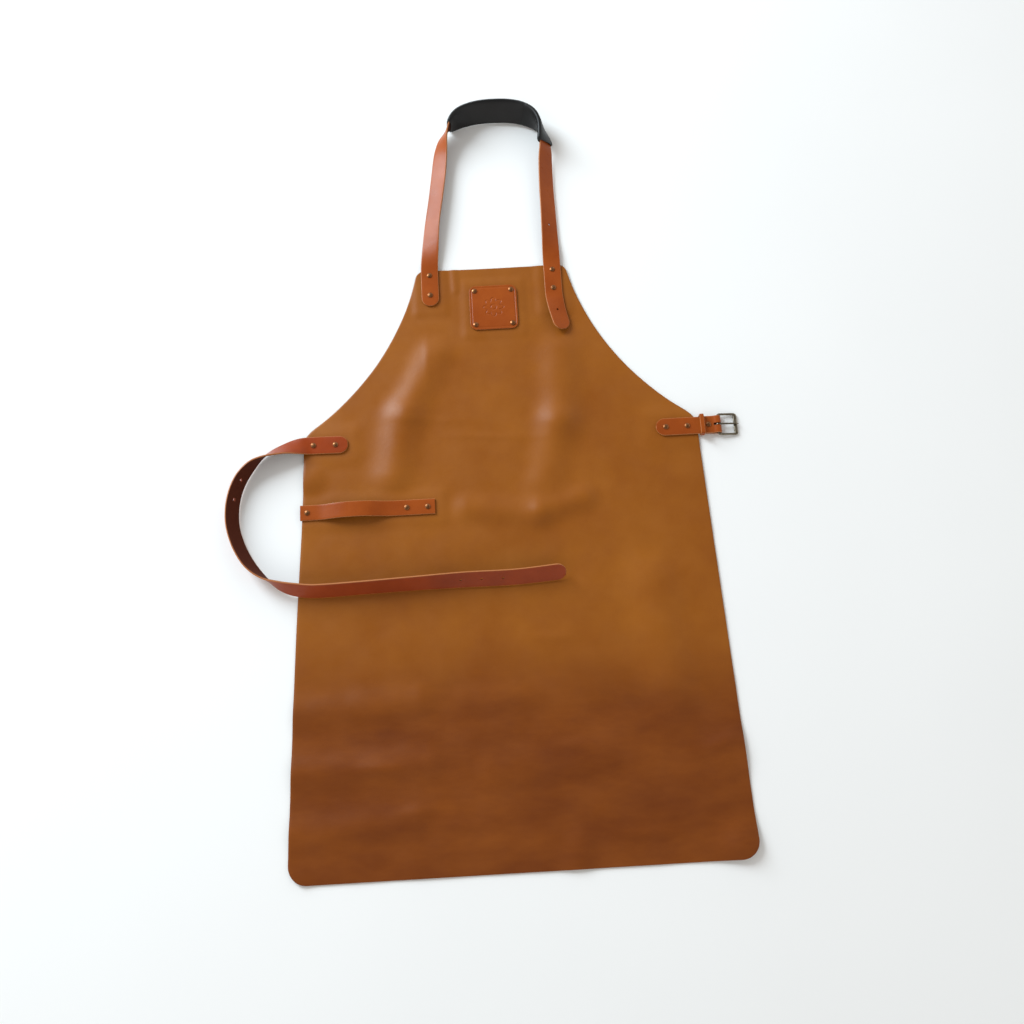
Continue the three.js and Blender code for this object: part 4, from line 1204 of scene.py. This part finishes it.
def level_way(line, y):
    """The way of a strap whose line runs in the X and Z plane, with its width along Y."""
    tangent = np.gradient(line, axis=0)
    tangent /= np.linalg.norm(tangent, axis=1, keepdims=True)
    count = len(line)
    middle = np.column_stack([line[:, 0], np.full(count, y), line[:, 1]])
    across = np.tile([0.0, -1.0, 0.0], (count, 1))
    normal = np.column_stack([-tangent[:, 1], np.zeros(count), tangent[:, 0]])
    return Way(middle, across, normal)


class APRON_OT_tool_strap(bpy.types.Operator):
    """Makes the tool strap with its raised loop."""

    bl_idname = "apron.tool_strap"
    bl_label = "Tool strap"

    STEP = 1.5

    def execute(self, context):
        rim = strap_sizes(context)[2]
        flat = SEAT_TOP + TOOL_THICKNESS / 2
        high = flat + TOOL_LOOP_HEIGHT
        start, crest, end = TOOL_LOOP_START, TOOL_LOOP_CREST, TOOL_LOOP_END
        rise, fall = start + TOOL_RISE_EASE, end - TOOL_FALL_EASE
        line, stops = even_line([
            [(TOOL_LEFT, flat), (start, flat)],
            bezier((start, flat), (rise, flat), (rise, high), (crest, high)),
            bezier((crest, high), (fall, high), (fall, flat), (end, flat)),
            [(TOOL_RIGHT, flat)],
        ], self.STEP)
        section = strap_section(TOOL_WIDTH, TOOL_THICKNESS, rim)
        mesh = strap_mesh("tool_strap", level_way(line, TOOL_Y), section, stops, np.ones_like(stops), rim)
        place_piece("tool_strap", mesh, strap_leather(context.scene.apron_colours))
        return {"FINISHED"}


def box_mesh(low, high):
    """A plain box between two corners, in millimetres."""
    points = [(x, y, z) for x in (low[0], high[0]) for y in (low[1], high[1]) for z in (low[2], high[2])]
    faces = [(0, 1, 3, 2), (4, 6, 7, 5), (0, 4, 5, 1), (2, 3, 7, 6), (0, 2, 6, 4), (1, 5, 7, 3)]
    return make_mesh("box", points, faces)


def rounded_loop(half_a, half_b, corner, turns=7, straights=8):
    """Points round a rectangle with round corners, and the outward direction at each."""
    sides = np.array([(1, 1), (-1, 1), (-1, -1), (1, -1)])
    middles = sides * [half_a - corner, half_b - corner]
    points, normals = [], []
    for number, (middle, following) in enumerate(zip(middles, np.roll(middles, -1, axis=0))):
        for angle in np.radians(90 * number + np.linspace(0, 90, turns)):
            out = np.array([math.cos(angle), math.sin(angle)])
            points.append(middle + corner * out)
            normals.append(out)
        for share in np.linspace(0, 1, straights + 1)[1:-1]:
            points.append(middle + corner * out + share * (following - middle))
            normals.append(out)
    return np.array(points), np.array(normals)


class APRON_OT_buckle_strap(bpy.types.Operator):
    """Makes the buckle strap, folded round the heel bar, and its keeper."""

    bl_idname = "apron.buckle_strap"
    bl_label = "Buckle strap and keeper"

    STEP = 0.8
    FOLD_STEPS = 24
    SLOT_PAST = 20.0
    # How far the round end narrows, and how round the keeper's edges are beside the strap's.
    END_NARROW, KEEPER_RIM = 0.995, 0.8

    def strap(self, width, thickness, rim):
        """The strap's mesh, with the prong's slot cut out of its fold."""
        flat = SEAT_TOP + thickness / 2
        low = LAP_LIFT + thickness / 2
        high = low + thickness + CLEARANCE
        turn = HEEL_RADIUS + CLEARANCE + thickness / 2
        over, under = HEEL.z + turn, HEEL.z - turn
        step = (LAP_FROM + LAP_TO) / 2
        leave, arrive = LAP_PINCH + LAP_EASE, HEEL.x - LAP_EASE
        angles = np.radians(np.linspace(90, -90, self.FOLD_STEPS))
        line, stops = even_line([
            [(BUCKLE_STRAP_END, flat), (LAP_FROM, flat)],
            bezier((LAP_FROM, flat), (step, flat), (step, high), (LAP_TO, high)),
            [(LAP_PINCH, high)],
            bezier((LAP_PINCH, high), (leave, high), (arrive, over), (HEEL.x, over)),
            np.column_stack([HEEL.x + turn * np.cos(angles), HEEL.z + turn * np.sin(angles)]),
            bezier((HEEL.x, under), (arrive, under), (leave, low), (LAP_PINCH, low)),
            [(LAP_END, low)],
        ], self.STEP)
        near = np.clip(1 - stops / (width / 2), 0, self.END_NARROW)
        widths = np.sqrt(1 - near ** 2)
        section = strap_section(width, thickness, rim)
        mesh = strap_mesh("buckle_strap", level_way(line, HEEL.y), section, stops, widths, rim)
        half_slot = PRONG_SLOT_WIDTH / 2
        slot = box_mesh((HEEL.x - PRONG_SLOT_BACK, HEEL.y - half_slot, -self.SLOT_PAST),
                        (HEEL.x + self.SLOT_PAST, HEEL.y + half_slot, self.SLOT_PAST))
        return carve(mesh, slot)

    def keeper(self, width, thickness, rim):
        """The keeper's mesh: a band that stands round the strap."""
        wall = KEEPER_THICKNESS
        tall = thickness + 3 * CLEARANCE + KEEPER_ROOM
        points, normals = rounded_loop(
            width / 2 + CLEARANCE + wall / 2, tall / 2 + wall / 2, KEEPER_CORNER)
        count = len(points)
        middle = np.column_stack([
            np.full(count, KEEPER_X + KEEPER_WIDTH / 2), HEEL.y + points[:, 0],
            SEAT_TOP - CLEARANCE + tall / 2 + points[:, 1]])
        across = np.tile([1.0, 0.0, 0.0], (count, 1))
        way = Way(middle, across, np.column_stack([np.zeros(count), normals]))
        band = strap_section(KEEPER_WIDTH, wall, rim * self.KEEPER_RIM)
        rings = ring_points(way, np.tile(band.across, (count, 1)), np.tile(band.up, (count, 1)))
        values = {"edge": np.tile(band.edge, count), "flesh": np.tile(band.flesh, count)}
        return ring_mesh("keeper", rings, values, closed=True)

    def execute(self, context):
        sizes = strap_sizes(context)
        material = strap_leather(context.scene.apron_colours)
        place_piece("buckle_strap", self.strap(*sizes), material)
        place_piece("keeper", self.keeper(*sizes), material)
        return {"FINISHED"}


class APRON_OT_buckle(bpy.types.Operator):
    """Makes the buckle's frame and its prong."""

    bl_idname = "apron.buckle"
    bl_label = "Buckle"

    SIDES = 20
    # The prong's ring, in degrees from its open end to the bar, and its edges.
    RING_START, RING_END, RING_STEPS = -250, 90, 60
    PRONG_STEP = 0.4
    PRONG_RIM = 0.45
    # The prong's tip: over which length it tapers, to which share, and how far it bends down.
    TIP_LENGTH, TIP_SHARE, TIP_BEND = 4.0, 0.45, 0.2

    def resting(self):
        """The buckle's place: it hangs in the strap's fold and its end bar rests on the floor."""
        tilt = math.asin((HEEL.z - FRAME_WIRE - CLEARANCE) / FRAME_REACH)
        return Matrix.Translation(HEEL * MM) @ Matrix.Rotation(tilt, 4, "Y")

    def frame_mesh(self):
        """The frame as a bent wire: a thinner heel bar and a broader, flatter end bar."""
        points, normals = rounded_loop(FRAME_REACH / 2, FRAME_HALF_WIDTH, FRAME_CORNER)
        points = points + [FRAME_REACH / 2, 0.0]
        out = points[:, 0]
        side = smoothstep(out / FRAME_CORNER)
        end = smoothstep(out / FRAME_REACH * 2 - 1)
        end = end * smoothstep((out - FRAME_REACH + FRAME_CORNER) / FRAME_CORNER)
        half = HEEL_RADIUS + (FRAME_WIRE - HEEL_RADIUS) * side + (FRAME_END_BAR - FRAME_WIRE) * end
        deep = np.minimum(half, FRAME_WIRE)
        turn = np.linspace(0, 2 * math.pi, self.SIDES, endpoint=False)
        level = np.zeros(len(points))
        way = Way(np.column_stack([points, level]), np.column_stack([normals, level]),
                  np.tile([0.0, 0.0, 1.0], (len(points), 1)))
        rings = ring_points(way, np.outer(half, np.cos(turn)), np.outer(deep, np.sin(turn)))
        return ring_mesh("buckle_frame", rings, closed=True)

    def prong_mesh(self):
        """The prong: a ring round the heel bar that runs on as a straight bar."""
        wall = PRONG_RING - HEEL_RADIUS - CLEARANCE
        radius = HEEL_RADIUS + CLEARANCE + wall / 2
        height = PRONG_RING - PRONG_UNDERSIDE
        bar_z = PRONG_UNDERSIDE + height / 2
        angles = np.radians(np.linspace(self.RING_START, self.RING_END, self.RING_STEPS))
        ring = np.column_stack([radius * np.cos(angles), radius * np.sin(angles)])
        bar = [(PRONG_TIP - self.TIP_LENGTH, bar_z), (PRONG_TIP, bar_z - self.TIP_BEND)]
        line, stops = even_line([ring, bar], self.PRONG_STEP)
        thin = np.clip((PRONG_TIP - line[:, 0]) / self.TIP_LENGTH, self.TIP_SHARE, 1)
        thin = np.where(stops > stops[-1] / 2, thin, 1.0)
        section = strap_section(PRONG_WIDTH, height, self.PRONG_RIM)
        way = level_way(line, 0.0)
        rings = ring_points(way, np.outer(thin, section.across), np.outer(thin, section.up))
        return ring_mesh("buckle_prong", rings)

    def execute(self, context):
        metal = antique_nickel(context.scene.apron_colours)
        for body, mesh in [("frame", self.frame_mesh()), ("prong", self.prong_mesh())]:
            mesh.transform(self.resting())
            place_piece(f"buckle_{body}", mesh, metal, body)
        return {"FINISHED"}


class APRON_OT_rivets(bpy.types.Operator):
    """Makes all the rivets from the places of their solids."""

    bl_idname = "apron.rivets"
    bl_label = "Rivets"

    RIM_HEIGHT = 0.5
    SHANK_RADIUS = 1.4
    BACK_RADIUS, BACK_THICKNESS = 4.2, 1.0
    # How far a solid rivet's top stands above the underside of its cap.
    CAP_HEIGHT = 1.6

    def execute(self, context):
        sizes = context.scene.apron_sizes
        metal = antique_brass(context.scene.apron_colours)
        tops, lengths = [], []
        for name in RIVETS:
            low, high = (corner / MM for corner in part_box(name))
            under_cap = high.z - self.CAP_HEIGHT
            tops.append(((low.x + high.x) / 2, (low.y + high.y) / 2, under_cap))
            lengths.append(under_cap - low.z - self.BACK_THICKNESS / 2)
        points = bpy.data.meshes.new("rivet_places")
        points.from_pydata((np.array(tops) * MM).tolist(), [], [])
        shank = points.attributes.new("shank", "FLOAT", "POINT")
        shank.data.foreach_set("value", np.array(lengths, dtype=np.float32) * MM)
        mesh = run_tree(rivet_tree(), points, {
            "Cap radius": sizes.rivet_cap, "Rim height": self.RIM_HEIGHT * MM,
            "Dome height": sizes.rivet_dome, "Shank radius": self.SHANK_RADIUS * MM,
            "Back radius": self.BACK_RADIUS * MM, "Back thickness": self.BACK_THICKNESS * MM,
            "Material": metal})
        finish_shading(mesh)
        place_piece("rivets", mesh, metal, nodes=RIVETS)
        return {"FINISHED"}


class APRON_PT_pieces(bpy.types.Panel):
    """Lists the apron's pieces and settings in the sidebar."""

    bl_idname = "APRON_PT_pieces"
    bl_label = "Leather Apron"
    bl_space_type = "VIEW_3D"
    bl_region_type = "UI"
    bl_category = "Apron"

    def draw(self, context):
        scene = context.scene
        for kind in OPERATORS:
            self.layout.operator(kind.bl_idname)
        for group in (scene.apron_sizes, scene.apron_colours, scene.apron_stage):
            for key in group.__annotations__:
                self.layout.prop(group, key)


OPERATORS = [
    APRON_OT_stage, APRON_OT_panel, APRON_OT_patch, APRON_OT_long_straps, APRON_OT_neck_sleeve,
    APRON_OT_tool_strap, APRON_OT_buckle_strap, APRON_OT_buckle, APRON_OT_rivets,
]
CLASSES = [ApronSizes, ApronColours, ApronStage, *OPERATORS, APRON_PT_pieces]


def register():
    """Adds the classes, and the settings to the scene."""
    for kind in CLASSES:
        bpy.utils.register_class(kind)
    bpy.types.Scene.apron_sizes = PointerProperty(type=ApronSizes)
    bpy.types.Scene.apron_colours = PointerProperty(type=ApronColours)
    bpy.types.Scene.apron_stage = PointerProperty(type=ApronStage)


def unregister():
    """Takes the settings and the classes out again."""
    del bpy.types.Scene.apron_stage
    del bpy.types.Scene.apron_colours
    del bpy.types.Scene.apron_sizes
    for kind in reversed(CLASSES):
        bpy.utils.unregister_class(kind)


def main():
    """Makes every piece in order."""
    register()
    bpy.ops.apron.stage()
    bpy.ops.apron.panel()
    bpy.ops.apron.patch()
    bpy.ops.apron.long_straps()
    bpy.ops.apron.neck_sleeve()
    bpy.ops.apron.tool_strap()
    bpy.ops.apron.buckle_strap()
    bpy.ops.apron.buckle()
    bpy.ops.apron.rivets()


if __name__ == "__main__":
    main()
